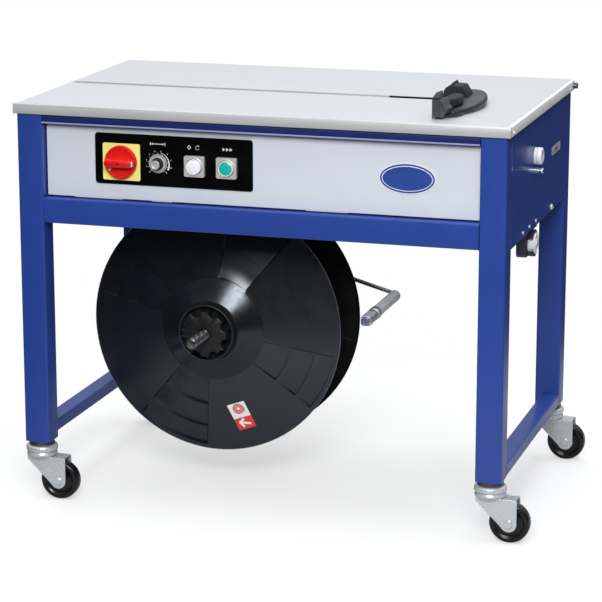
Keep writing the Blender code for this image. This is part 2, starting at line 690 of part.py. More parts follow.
def make_belt(small_r, large_r):
    """A flat belt runs round both pulleys, a little clear of their faces."""
    outline = {}
    dx, dz = DRIVE_X - GEAR_X, DRIVE_Z - GEAR_Z
    lean = math.degrees(math.asin((large_r - small_r) / math.hypot(dx, dz)))
    for key, extra in (("outer", BELT_GAP + 0.0015), ("inner", BELT_GAP)):
        outline[key] = arc(GEAR_X, GEAR_Z, large_r + extra, 90 - lean, 270 + lean, 12)
        outline[key] += arc(DRIVE_X, DRIVE_Z, small_r + extra, -90 + lean, 90 - lean, 8)
    low, high = -0.076, -0.058
    bm = bmesh.new()
    loops = []
    for key, y in (("outer", low), ("outer", high), ("inner", high), ("inner", low)):
        loops.append([bm.verts.new((u, y, v)) for u, v in outline[key]])
    count = len(loops[0])
    for a, b in zip(loops, loops[1:] + loops[:1]):
        for i in range(count):
            j = (i + 1) % count
            bm.faces.new((a[i], a[j], b[j], b[i]))
    node("drive_belt", bm, RUBBER)


def make_control_box():
    rear = PANEL_Y + PANEL_T + GAP
    box_node("control_box", (-0.295, rear, 0.580), (-0.030, rear + 0.052, 0.690), DARK)


# ---- assembly ---------------------------------------------------------------------------------
clear_scene()
machine = bpy.data.objects.new("machine", None)
bpy.context.scene.collection.objects.link(machine)
machine.location = (-CENTRE_X, -CENTRE_Y, 0.0)

BLUE = material("blue_paint", (0.022, 0.055, 0.300), 0.35, 0.0)
SILVER = material("silver_panel", (0.58, 0.63, 0.68), 0.45, 0.3)
STEEL = material("stainless_top", (0.72, 0.74, 0.78), 0.35, 0.9)
ALUMINIUM = material("aluminium", (0.62, 0.64, 0.66), 0.4, 1.0)
ZINC = material("zinc", (0.66, 0.69, 0.70), 0.3, 1.0)
CHROME = material("chrome", (0.75, 0.77, 0.80), 0.15, 1.0)
BLACK = material("black_plastic", (0.020, 0.022, 0.026), 0.45, 0.0)
REEL_BLACK = material("reel_plastic", (0.012, 0.013, 0.016), 0.3, 0.0)
RUBBER = material("rubber", (0.015, 0.015, 0.016), 0.5, 0.0)
DARK = material("dark_enamel", (0.05, 0.055, 0.06), 0.5, 0.0)
RED = material("red_plastic", (0.55, 0.020, 0.015), 0.35, 0.0)
YELLOW = material("yellow_plastic", (0.90, 0.68, 0.03), 0.45, 0.0)
WHITE = material("white_plastic", (0.82, 0.83, 0.84), 0.4, 0.0)
TEAL = material("teal_plastic", (0.02, 0.32, 0.26), 0.35, 0.0)
BEIGE = material("grey_plastic", (0.42, 0.41, 0.40), 0.5, 0.0)

make_legs()
make_stretchers()
make_rails()
make_side_panels()
make_front_and_rear_panels()
make_control_plates()
make_main_switch()
make_length_dial()
make_buttons()
make_table()
make_hinge_rod()
make_strap_guide()
make_casters()
make_reel()
make_reel_support()
make_brake_arm()
make_strap_inlet()
make_tension_controls()
make_mechanism_frame()
make_drive()
make_control_box()
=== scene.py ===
"""Looks of the semi-automatic strapping machine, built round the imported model.

Metres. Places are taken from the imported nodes, or measured with at() from the middle of the
table at floor level, where +X is the operator's right and the operator stands at -Y."""

import math

import bmesh
import bpy
from mathutils import Matrix, Vector


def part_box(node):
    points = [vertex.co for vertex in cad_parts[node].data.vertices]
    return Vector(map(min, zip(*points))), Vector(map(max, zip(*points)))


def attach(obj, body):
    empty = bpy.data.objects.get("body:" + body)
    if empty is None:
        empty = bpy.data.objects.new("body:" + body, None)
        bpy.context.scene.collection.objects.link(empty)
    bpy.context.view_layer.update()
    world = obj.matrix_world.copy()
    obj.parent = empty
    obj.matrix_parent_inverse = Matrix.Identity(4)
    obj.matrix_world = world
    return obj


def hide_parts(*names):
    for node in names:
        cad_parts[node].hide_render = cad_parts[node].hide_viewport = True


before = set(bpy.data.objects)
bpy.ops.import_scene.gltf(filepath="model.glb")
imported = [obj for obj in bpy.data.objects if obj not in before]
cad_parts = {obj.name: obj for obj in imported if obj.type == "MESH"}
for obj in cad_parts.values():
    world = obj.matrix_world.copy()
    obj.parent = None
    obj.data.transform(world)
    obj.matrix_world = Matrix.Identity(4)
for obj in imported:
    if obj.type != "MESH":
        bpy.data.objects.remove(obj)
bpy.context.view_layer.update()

TRIM_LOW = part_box("table_trim_front")[0]
PLATE_LOW, PLATE_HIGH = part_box("table_plate")
TABLE_TOP = PLATE_HIGH.z
ORIGIN = Vector(((PLATE_LOW.x + PLATE_HIGH.x) / 2, (TRIM_LOW.y + PLATE_HIGH.y) / 2, 0.0))
CORNERS = [f"{end}_{side}" for side in ("left", "right") for end in ("front", "rear")]
SKIN = 0.0002                                 # how far printed marks stand off a surface
CAMERA_LENS = 147.6
CAMERA_PLACE = (1.2836, -4.2710, 1.4261)
CAMERA_TURN = (76.337, 0.0, 16.955)           # degrees
FLOOR_RADIUS = 1.6
FLOOR_COVER = 0.5                             # how solid the floor is near its centre
FADE_CENTRE = (0.45, -0.15, 0.0)
FADE_NEAR, FADE_FAR = 0.85, 1.45
WORLD_LEAN = (0.0, 0.2, 0.98)
WORLD_LOW, WORLD_HIGH = 0.03, 0.80


def at(x, y, z):
    return ORIGIN + Vector((x, y, z))


def middle(node):
    low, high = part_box(node)
    return (low + high) / 2


# ---- materials --------------------------------------------------------------------------------
def add_noise(tree, scale, stretch, detail=3.0):
    place = tree.nodes.new("ShaderNodeTexCoord")
    turn = tree.nodes.new("ShaderNodeMapping")
    turn.inputs["Scale"].default_value = stretch
    noise = tree.nodes.new("ShaderNodeTexNoise")
    noise.inputs["Scale"].default_value = scale
    noise.inputs["Detail"].default_value = detail
    tree.links.new(place.outputs["Object"], turn.inputs["Vector"])
    tree.links.new(turn.outputs["Vector"], noise.inputs["Vector"])
    return noise.outputs["Fac"]


def add_rings(tree, centre, scale):
    """Noise that depends only on the distance from an axis along Y: fine turning marks."""
    place = tree.nodes.new("ShaderNodeTexCoord")
    away = tree.nodes.new("ShaderNodeVectorMath")
    away.operation = "SUBTRACT"
    away.inputs[1].default_value = centre
    flat = tree.nodes.new("ShaderNodeVectorMath")
    flat.operation = "MULTIPLY"
    flat.inputs[1].default_value = (1.0, 0.0, 1.0)
    far = tree.nodes.new("ShaderNodeVectorMath")
    far.operation = "LENGTH"
    noise = tree.nodes.new("ShaderNodeTexNoise")
    noise.noise_dimensions = "1D"
    noise.inputs["Scale"].default_value = scale
    noise.inputs["Detail"].default_value = 2.0
    tree.links.new(place.outputs["Object"], away.inputs[0])
    tree.links.new(away.outputs["Vector"], flat.inputs[0])
    tree.links.new(flat.outputs["Vector"], far.inputs[0])
    tree.links.new(far.outputs["Value"], noise.inputs["W"])
    return noise.outputs["Fac"]


def material(name, colour, roughness, metallic=0.0, spread=0.05, patch=9.0, rough_spread=0.06,
             bump=0.0, bump_scale=700.0, stretch=(1.0, 1.0, 1.0), rings=None, **sockets):
    """A Principled material whose colour, roughness and height vary over the surface."""
    mat = bpy.data.materials.new(name)
    mat.use_nodes = True
    tree = mat.node_tree
    shader = tree.nodes["Principled BSDF"]
    shader.inputs["Metallic"].default_value = metallic
    for socket, value in sockets.items():
        label = socket.replace("_", " ").title().replace("Ior", "IOR")
        shader.inputs[label].default_value = value
    ramp = tree.nodes.new("ShaderNodeValToRGB")
    ramp.color_ramp.elements[0].position = 0.3
    ramp.color_ramp.elements[1].position = 0.7
    ramp.color_ramp.elements[0].color = (*[c * (1 - spread) for c in colour], 1.0)
    ramp.color_ramp.elements[1].color = (*[min(1.0, c * (1 + spread)) for c in colour], 1.0)
    tree.links.new(add_noise(tree, patch, stretch), ramp.inputs["Fac"])
    tree.links.new(ramp.outputs["Color"], shader.inputs["Base Color"])
    reach = tree.nodes.new("ShaderNodeMapRange")
    reach.inputs["From Min"].default_value = 0.3
    reach.inputs["From Max"].default_value = 0.7
    reach.inputs["To Min"].default_value = roughness - rough_spread
    reach.inputs["To Max"].default_value = roughness + rough_spread
    tree.links.new(add_noise(tree, patch * 4, stretch), reach.inputs["Value"])
    tree.links.new(reach.outputs["Result"], shader.inputs["Roughness"])
    if bump:
        height = tree.nodes.new("ShaderNodeBump")
        height.inputs["Strength"].default_value = bump
        height.inputs["Distance"].default_value = 0.0004
        grain = add_rings(tree, rings, bump_scale) if rings else add_noise(
            tree, bump_scale, stretch)
        tree.links.new(grain, height.inputs["Height"])
        tree.links.new(height.outputs["Normal"], shader.inputs["Normal"])
    return mat


BRUSH_X = (0.02, 1.0, 1.0)
REEL_AXIS = middle("reel_flange_front")

BLUE = material("blue_powder_coat", (0.021, 0.056, 0.290), 0.34, bump=0.03, bump_scale=520.0,
                patch=5.0, spread=0.05, rough_spread=0.03, specular_ior_level=0.35,
                coat_weight=0.12, coat_roughness=0.15)
SILVER = material("silver_enamel", (0.680, 0.730, 0.795), 0.42, metallic=0.10, bump=0.04,
                  bump_scale=500.0, spread=0.02, patch=6.0, rough_spread=0.03)
# Lighter copy of the silver enamel: painted highlight on the front panel's rounded fold.
PAINTED_HIGHLIGHT_FOLD = material("painted_highlight_fold", (0.82, 0.84, 0.92), 0.30, spread=0.02, patch=40.0,
                     rough_spread=0.03, bump=0.03)
STAINLESS = material("brushed_stainless", (0.800, 0.815, 0.860), 0.34, metallic=0.55,
                     stretch=BRUSH_X, patch=140.0, spread=0.015, bump=0.05, bump_scale=900.0,
                     rough_spread=0.03)
ALUMINIUM = material("brushed_aluminium", (0.56, 0.57, 0.585), 0.40, metallic=0.35,
                     stretch=BRUSH_X, patch=160.0, spread=0.07, bump=0.12, bump_scale=900.0)
SIDE_ALUMINIUM = material("side_aluminium", (0.93, 0.95, 0.98), 0.42, metallic=0.10,
                          stretch=(1.0, 0.02, 1.0), patch=160.0, spread=0.03, bump=0.10,
                          bump_scale=900.0)
CAST = material("cast_aluminium", (0.50, 0.51, 0.52), 0.5, metallic=0.9, bump=0.35,
                bump_scale=260.0, spread=0.06, patch=20.0)
ZINC = material("bright_zinc", (0.62, 0.66, 0.69), 0.30, metallic=0.55, bump=0.004,
                bump_scale=60.0, spread=0.03, patch=45.0, rough_spread=0.06)
CHROME = material("chrome", (0.78, 0.80, 0.83), 0.12, metallic=1.0, spread=0.02,
                  rough_spread=0.04)
STEEL_DARK = material("oiled_steel", (0.12, 0.125, 0.135), 0.30, metallic=0.9, spread=0.15,
                      patch=60.0, bump=0.1, bump_scale=300.0)
REEL = material("reel_plastic", (0.0050, 0.0060, 0.0088), 0.30, spread=0.10, patch=8.0,
                bump=0.06, bump_scale=600.0, rough_spread=0.03,
                specular_tint=(0.84, 0.92, 1.0, 1.0), specular_ior_level=0.85)
# Lighter copy of the reel plastic: painted highlight on the front flange's rim bead.
REEL_PAINTED_RIM_HIGHLIGHT = material("reel_painted_rim_highlight", (0.10, 0.105, 0.115), 0.28, spread=0.15, patch=12.0,
                     bump=0.05)
REEL_HUB = material("reel_polished_hub", (0.0070, 0.0080, 0.0105), 0.22, spread=0.08, patch=30.0,
                    bump=0.05, bump_scale=500.0, rough_spread=0.04, specular_ior_level=0.6,
                    specular_tint=(0.80, 0.90, 1.0, 1.0))
# Darker, rougher copy of the reel plastic: painted shade on the rear flange, deep inside the reel
# behind the front flange.
REEL_PAINTED_SHADE_REAR = material("reel_rear_painted_shade", (0.0025, 0.0026, 0.0030), 0.50, spread=0.10,
                     patch=9.0, bump=0.05, specular_ior_level=0.25)
# Darker copy of the blue powder coat: painted shade on the upper front rail, which sits under the
# table's overhang.
PAINTED_SHADE_BLUE = material("painted_shade_powder_coat", (0.010, 0.019, 0.115), 0.40, bump=0.03, bump_scale=520.0,
                spread=0.05, patch=12.0, rough_spread=0.03, specular_ior_level=0.3)
# Pale blue strip colour: a painted highlight along the rounded lower front edge of the upper rail.
PAINTED_HIGHLIGHT_LIP = material("painted_highlight_lip", (0.30, 0.31, 0.56), 0.35, spread=0.05, patch=30.0,
                    bump=0.03)
REEL_SATIN = material("reel_core_plastic", (0.011, 0.012, 0.014), 0.42, spread=0.12, bump=0.15,
                      bump_scale=500.0)
BLACK = material("moulded_black", (0.012, 0.013, 0.015), 0.42, spread=0.15, bump=0.2,
                 bump_scale=700.0)
GUIDE = material("guide_cast", (0.0100, 0.0115, 0.0150), 0.42, spread=0.35, patch=40.0,
                 bump=0.45, bump_scale=300.0, specular_ior_level=0.35)
GUIDE_FACE = material("guide_worn_face", (0.050, 0.060, 0.072), 0.38, metallic=0.2, spread=0.3,
                      patch=50.0, bump=0.3, bump_scale=400.0)
PANEL_BLACK = material("panel_film", (0.0012, 0.0012, 0.0015), 0.34, spread=0.1, bump=0.05,
                       specular_ior_level=0.15)
TYRE = material("wheel_polyamide", (0.0050, 0.0045, 0.0060), 0.22, spread=0.2, patch=60.0,
                bump=0.06, bump_scale=350.0, specular_ior_level=0.4)
RUBBER = material("belt_rubber", (0.014, 0.014, 0.015), 0.6, spread=0.2, bump=0.4,
                  bump_scale=500.0)
ENAMEL = material("dark_enamel", (0.035, 0.04, 0.045), 0.42, spread=0.1, bump=0.3,
                  bump_scale=300.0)
RED = material("red_knob", (0.70, 0.012, 0.010), 0.30, spread=0.06, patch=40.0, bump=0.08,
               bump_scale=500.0, coat_weight=0.2)
YELLOW = material("yellow_plate", (0.93, 0.84, 0.24), 0.42, spread=0.04, patch=30.0, bump=0.08)
WHITE = material("white_plastic", (0.84, 0.85, 0.87), 0.30, spread=0.02, bump=0.05)
TEAL = material("teal_button", (0.015, 0.42, 0.36), 0.28, spread=0.05, patch=60.0, bump=0.05,
                coat_weight=0.3)
PLATE_STEEL = material("galvanised_plate", (0.52, 0.54, 0.56), 0.40, metallic=0.5, spread=0.10,
                       patch=28.0, bump=0.02, bump_scale=300.0)
# A dark sheet colour: painted shade seen through the gap round the front pan.
SHADE = material("painted_shade_backing", (0.10, 0.12, 0.17), 0.5, spread=0.05, patch=40.0, bump=0.1)
BEZEL = material("warm_grey_bezel", (0.46, 0.43, 0.42), 0.45, spread=0.04, patch=50.0, bump=0.12)
INK_WHITE = material("white_ink", (0.80, 0.81, 0.83), 0.5, spread=0.03, patch=80.0)
INK_RED = material("red_ink", (0.72, 0.045, 0.030), 0.45, spread=0.05, patch=80.0)
PAPER = material("label_paper", (0.84, 0.84, 0.86), 0.5, spread=0.03, patch=60.0, bump=0.1)
BADGE_BLUE = material("badge_enamel", (0.030, 0.070, 0.300), 0.22, spread=0.05, patch=30.0,
                      coat_weight=0.5)
STUD = material("stud_steel", (0.16, 0.165, 0.175), 0.26, metallic=0.9, spread=0.12, patch=60.0)
NUT = material("nut_plastic", (0.0085, 0.0090, 0.0092), 0.45, spread=0.15, patch=60.0, bump=0.15,
               specular_ior_level=0.35)
BOLT = material("blued_bolt", (0.26, 0.30, 0.38), 0.35, metallic=0.8, spread=0.10, patch=80.0)
SLEEVE = material("sleeve_satin", (0.82, 0.85, 0.88), 0.38, metallic=0.20, spread=0.05,
                  patch=50.0, bump=0.12, bump_scale=300.0)
CAST_DARK = material("dark_casting", (0.055, 0.062, 0.078), 0.45, metallic=0.3, spread=0.15,
                     patch=60.0, bump=0.4, bump_scale=300.0)
FLOOR = material("studio_floor", (0.93, 0.93, 0.93), 0.75, spread=0.004, patch=0.6,
                 rough_spread=0.02)


# ---- mesh tools -------------------------------------------------------------------------------
def shape_point(axis, u, v, w):
    return Vector({"x": (w, u, v), "y": (u, w, v), "z": (u, v, w)}[axis])


def add_box(bm, low, high):
    low, high = Vector(low), Vector(high)
    place = Matrix.Translation((low + high) / 2) @ Matrix.Diagonal((*(high - low), 1.0))
    bmesh.ops.create_cube(bm, size=1.0, matrix=place)


def add_prism(bm, outline, axis, low, high):
    """Extrudes an outline, given in the two axes left over, along axis."""
    low_ring = [bm.verts.new(shape_point(axis, u, v, low)) for u, v in outline]
    high_ring = [bm.verts.new(shape_point(axis, u, v, high)) for u, v in outline]
    bm.faces.new(low_ring)
    bm.faces.new(list(reversed(high_ring)))
    for i, first in enumerate(low_ring):
        j = (i + 1) % len(low_ring)
        bm.faces.new((first, high_ring[i], high_ring[j], low_ring[j]))


def add_frame(bm, outer, inner, axis, low, high):
    """A flat ring between two outlines with the same number of points."""
    rings = [[bm.verts.new(shape_point(axis, u, v, w)) for u, v in outline]
             for outline, w in ((outer, low), (outer, high), (inner, high), (inner, low))]
    add_skin(bm, rings, closed=True)


def add_skin(bm, rings, closed=False):
    """Joins rings of equal length with faces; closed also joins the last ring to the first."""
    pairs = list(zip(rings, rings[1:]))
    if closed:
        pairs.append((rings[-1], rings[0]))
    for a, b in pairs:
        for i in range(len(a)):
            j = (i + 1) % len(a)
            bm.faces.new((a[i], a[j], b[j], b[i]))


def add_capped(bm, rings):
    """A skin through rings, closed at both ends."""
    add_skin(bm, rings)
    bm.faces.new(rings[0])
    bm.faces.new(list(reversed(rings[-1])))


def add_turned(bm, profile, axis, centre, segments=48):
    """Turns (along, radius) points about an axis; ends at radius 0 close, other profiles loop."""
    rings = []
    for along, radius in profile:
        steps = segments if radius > 0 else 1
        rings.append([
            bm.verts.new(Vector(centre) + shape_point(axis, radius * math.cos(t),
                                                      radius * math.sin(t), along))
            for t in (2 * math.pi * i / steps for i in range(steps))
        ])
    pairs = list(zip(rings, rings[1:]))
    if len(rings[0]) > 1:
        pairs.append((rings[-1], rings[0]))
    for a, b in pairs:
        for i in range(segments):
            j = (i + 1) % segments
            ring = [a[i % len(a)], a[j % len(a)], b[j % len(b)], b[i % len(b)]]
            ring = list(dict.fromkeys(ring))
            if len(ring) > 2:
                bm.faces.new(ring)


def add_rod(bm, axis, centre, low, high, radius, segments=24, rim=0.0006):
    add_turned(bm, [(low, 0.0), (low, radius - rim), (low + rim, radius), (high - rim, radius),
                    (high, radius - rim), (high, 0.0)], axis, centre, segments)


def arc(cx, cy, radius, start, end, steps):
    turns = [math.radians(start + (end - start) * i / steps) for i in range(steps + 1)]
    return [(cx + radius * math.cos(t), cy + radius * math.sin(t)) for t in turns]


def ellipse(cx, cy, half_w, half_h, steps=64):
    turns = [2 * math.pi * i / steps for i in range(steps)]
    return [(cx + half_w * math.cos(t), cy + half_h * math.sin(t)) for t in turns]


def rounded(cx, cy, width, height, radius, steps=6):
    points = []
    for sx, sy, start in ((1, 1, 0), (-1, 1, 90), (-1, -1, 180), (1, -1, 270)):
        points += arc(cx + sx * (width / 2 - radius), cy + sy * (height / 2 - radius), radius,
                      start, start + 90, steps)
    return points


def piece(name, bm, mat, body, slot, hides=(), bevel=0.0, sharp=35.0):
    """Turns a bmesh into a named piece that rides on a body and stands for the nodes it hides."""
    bmesh.ops.recalc_face_normals(bm, faces=bm.faces)
    mesh = bpy.data.meshes.new(name)
    bm.to_mesh(mesh)
    bm.free()
    mesh.materials.append(mat)
    mesh.shade_smooth()
    mesh.set_sharp_from_angle(angle=math.radians(sharp))
    obj = bpy.data.objects.new(name, mesh)
    bpy.context.scene.collection.objects.link(obj)
    if bevel:
        add_bevel(obj, bevel)
    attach(obj, body)
    if hides:
        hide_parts(*hides)
    return obj


def turned(name, profile, axis, centre, mat, body, slot, segments=48, **looks):
    bm = bmesh.new()
    add_turned(bm, profile, axis, centre, segments)
    return piece(name, bm, mat, body, slot, **looks)


def prism(name, outline, axis, low, high, mat, body, slot, **looks):
    bm = bmesh.new()
    add_prism(bm, outline, axis, low, high)
    return piece(name, bm, mat, body, slot, **looks)


def add_bevel(obj, width, segments=3, angle=35.0):
    mod = obj.modifiers.new("edges", "BEVEL")
    mod.width = width
    mod.segments = segments
    mod.limit_method = "ANGLE"
    mod.angle_limit = math.radians(angle)
    mod.harden_normals = True


def keep(node, mat, bevel=0.0, segments=3):
    """A CAD node that stays as it is gets its material and rounded edges."""
    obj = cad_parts[node]
    obj.data.materials.clear()
    obj.data.materials.append(mat)
    if bevel:
        add_bevel(obj, bevel, segments)


def add_ribbon(bm, points, width, front, thick):
    """A printed line of the given width through points in the X-Z plane."""
    for (x0, z0), (x1, z1) in zip(points, points[1:]):
        along = Vector((x1 - x0, z1 - z0))
        side = Vector((-along.y, along.x)).normalized() * width / 2
        stretch = along.normalized() * width * 0.3
        ends = [Vector((x0, z0)) - stretch, Vector((x1, z1)) + stretch]
        add_prism(bm, [ends[0] + side, ends[1] + side, ends[1] - side, ends[0] - side], "y",
                  front, front + thick)


def add_arrow_head(bm, tip, direction, size, front, thick):
    along = Vector(direction).normalized()
    side = Vector((-along.y, along.x))
    back = Vector(tip) - along * size
    add_prism(bm, [tip, back + side * size * 0.6, back - side * size * 0.6], "y", front,
              front + thick)


def screw(name, centre, axis, sign, radius, body, slot="zinc"):
    """A button-head screw with a round sunk socket; sign points out of the face."""
    bm = bmesh.new()
    height = radius * 0.62
    profile = [(0.0, 0.0), (0.0, radius), (height * 0.35, radius * 0.97),
               (height * 0.75, radius * 0.80), (height, radius * 0.52),
               (height, radius * 0.42), (height * 0.35, radius * 0.38), (height * 0.35, 0.0)]
    add_turned(bm, [(sign * along, r) for along, r in profile], axis, centre, 24)
    return piece(name, bm, ZINC, body, slot)


# ---- frame ------------------------------------------------------------------------------------
def tube(name, node, axis, wall=0.002, radius=0.0035, paint=None):
    """A rectangular tube with rounded corners and open ends, in the place of a CAD tube."""
    low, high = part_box(node)
    centre, size = (low + high) / 2, high - low
    along = "xyz".index(axis)
    i, j = [k for k in range(3) if k != along]
    outer = rounded(centre[i], centre[j], size[i], size[j], radius)
    inner = rounded(centre[i], centre[j], size[i] - 2 * wall, size[j] - 2 * wall, radius - wall)
    bm = bmesh.new()
    add_frame(bm, outer, inner, axis, low[along], high[along])
    piece(name, bm, paint or BLUE, "frame", "blue_paint", hides=[node])


def make_frame():
    for tag in CORNERS:
        tube(f"leg_tube_{tag}", f"leg_{tag}", "z")
    for side in ("left", "right"):
        tube(f"stretcher_tube_{side}", f"stretcher_{side}", "y", radius=0.003)
        keep(f"side_panel_{side}", BLUE, 0.0005)
    # The upper front rail takes the darker blue as painted shade under the table.
    for where, paint in (("front_lower", BLUE), ("front_upper", PAINTED_SHADE_BLUE), ("rear_lower", BLUE)):
        tube(f"rail_tube_{where}", f"rail_{where}", "x", radius=0.003, paint=paint)
    # A thin pale strip under the upper rail's front face: a painted highlight.
    low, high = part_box("rail_front_upper")
    bm = bmesh.new()
    add_box(bm, (low.x, low.y - 0.0006, low.z), (high.x, low.y + 0.002, low.z + 0.0028))
    piece("rail_painted_highlight", bm, PAINTED_HIGHLIGHT_LIP, "frame", "blue_paint", bevel=0.0005)
    keep("rear_panel", BLUE, 0.0004, 2)
    keep("reel_hanger", BLUE, 0.0006, 2)


def make_front_panel():
    """A folded pan, a little smaller than its opening, with a rounded fold all round that is drawn
    paler than the pan as a painted highlight.
    """
    low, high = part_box("front_panel")
    centre, size = (low + high) / 2, high - low
    gap, fold, reach, lip = 0.0022, 0.0024, 0.012, 0.0012

    def outline(inset, corner=0.0018):
        return rounded(centre.x, centre.z, size.x - 2 * inset, size.z - 2 * inset, corner)

    face, rear = low.y, low.y + reach
    bm = bmesh.new()
    sections = [(gap, rear), (gap, face + fold * 0.7), (gap + fold * 0.3, face + fold * 0.25),
                (gap + fold * 0.8, face + SKIN), (gap + fold, face + 0.0004),
                (gap + fold, face + lip), (gap + lip, face + fold), (gap + lip, rear)]
    rings = [[bm.verts.new((u, y, v)) for u, v in outline(inset)] for inset, y in sections]
    add_skin(bm, rings, closed=True)
    # The fold is drawn paler than the pan: a painted highlight.
    piece("front_fold", bm, PAINTED_HIGHLIGHT_FOLD, "frame", "silver_panel", sharp=60)
    prism("front_pan", outline(gap + fold * 0.85), "y", face, face + lip, SILVER, "frame",
          "silver_panel", hides=["front_panel"], bevel=0.0003)
    # A dark sheet behind the pan: painted shade in the gap round the pan's edge.
    bm = bmesh.new()
    add_box(bm, (low.x, rear, low.z), (high.x, rear + 0.0010, high.z))
    piece("front_shade_backing", bm, SHADE, "frame", "silver_panel")


# ---- control panel ----------------------------------------------------------------------------
def plate_outline(node, radius):
    low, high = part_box(node)
    return rounded((low.x + high.x) / 2, (low.z + high.z) / 2, high.x - low.x, high.z - low.z,
                   radius)


def make_control_plate():
    for name, node, corner, mat, slot in (
            ("control_face", "control_plate", 0.0055, PANEL_BLACK, "black_plastic"),
            ("switch_face", "switch_plate", 0.0030, YELLOW, "yellow_plastic")):
        low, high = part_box(node)
        prism(name, plate_outline(node, corner), "y", low.y, high.y, mat, "frame", slot,
              hides=[node], bevel=0.0005)


def make_panel_symbols():
    """Wordless symbols: a span for the length, a round arrow for reset, chevrons for feed."""
    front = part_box("control_plate")[0].y - SKIN
    dial, reset, feed = middle("length_dial"), middle("reset_bezel"), middle("feed_bezel")
    line = 0.0011
    bm = bmesh.new()
    z = reset.z + 0.0355
    left, right = dial.x - 0.0125, dial.x + 0.0125
    add_ribbon(bm, [(left, z), (right, z)], line, front, SKIN)
    for end, way in ((left, -1), (right, 1)):
        add_ribbon(bm, [(end + way * 0.001, z - 0.0026), (end + way * 0.001, z + 0.0026)], line,
                   front, SKIN)
        add_arrow_head(bm, (end, z), (way, 0), 0.0038, front, SKIN)
    z = reset.z + 0.0325
    turn = arc(reset.x + 0.004, z, 0.0034, 60, 330, 16)
    add_ribbon(bm, turn, line, front, SKIN)
    add_arrow_head(bm, (turn[0][0] + 0.0021, turn[0][1] - 0.0007), (1, -0.35), 0.0030, front,
                   SKIN)
    diamond = [(reset.x - 0.011, z + 0.0034), (reset.x - 0.0079, z), (reset.x - 0.011, z - 0.0034),
               (reset.x - 0.0141, z), (reset.x - 0.011, z + 0.0034)]
    add_ribbon(bm, diamond, line, front, SKIN)
    z = feed.z + 0.0320
    for step in (-0.0065, 0.0, 0.0065):
        add_arrow_head(bm, (feed.x + step + 0.0028, z), (1, 0), 0.0048, front, SKIN)
    piece("panel_symbols", bm, INK_WHITE, "frame", "white_plastic")


def make_dial_scale():
    """A bright ring, its ticks and numbers, and a band that widens towards the high end."""
    centre = middle("length_dial")
    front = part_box("control_plate")[0].y - SKIN
    place = (centre.x, 0.0, centre.z)
    turned("dial_ring", [(front + SKIN, 0.0150), (front - 0.0006, 0.0152),
           (front - 0.0008, 0.0158), (front - 0.0006, 0.0166), (front + SKIN, 0.0168)], "y", place,
           ALUMINIUM, "frame", "aluminium", segments=64)
    bm = bmesh.new()
    first, last, count = 225, -45, 11
    for i in range(count):
        angle = first + (last - first) * i / (count - 1)
        ends = [arc(centre.x, centre.z, r, angle, angle, 1)[0] for r in (0.0118, 0.0142)]
        add_ribbon(bm, ends, 0.0007, front, SKIN)
        ends = [arc(centre.x, centre.z, r, angle, angle, 1)[0] for r in (0.0172, 0.0192)]
        add_ribbon(bm, ends, 0.0006, front, SKIN)
    steps = 18
    inner = arc(centre.x, centre.z, 0.0198, 75, -30, steps)
    outer = [arc(centre.x, centre.z, 0.0202 + 0.0022 * i / steps, 75 - 105 * i / steps, 0, 1)[0]
             for i in range(steps + 1)]
    add_prism(bm, inner + outer[::-1], "y", front, front + SKIN)
    piece("dial_ticks", bm, INK_WHITE, "frame", "white_plastic")
    for i, number in enumerate(range(0, 10)):
        angle = first + (last - first) * i / 9
        reach = 0.0252 if -35 < angle < 75 else 0.0222
        x, z = arc(centre.x, centre.z, reach, angle, angle, 1)[0]
        add_number(f"dial_number_{number}", str(number), x, z, front, 0.0040)


def add_number(name, text, x, z, front, height):
    curve = bpy.data.curves.new(name, "FONT")
    curve.body = text
    curve.size = height
    curve.align_x = "CENTER"
    curve.align_y = "CENTER"
    curve.extrude = SKIN / 2
    source = bpy.data.objects.new(name, curve)
    mesh = bpy.data.meshes.new_from_object(source)
    bpy.data.objects.remove(source)
    mesh.transform(Matrix.Translation((x, front, z)) @ Matrix.Rotation(math.pi / 2, 4, "X"))
    bm = bmesh.new()
    bm.from_mesh(mesh)
    bpy.data.meshes.remove(mesh)
    piece(name, bm, INK_WHITE, "frame", "white_plastic")


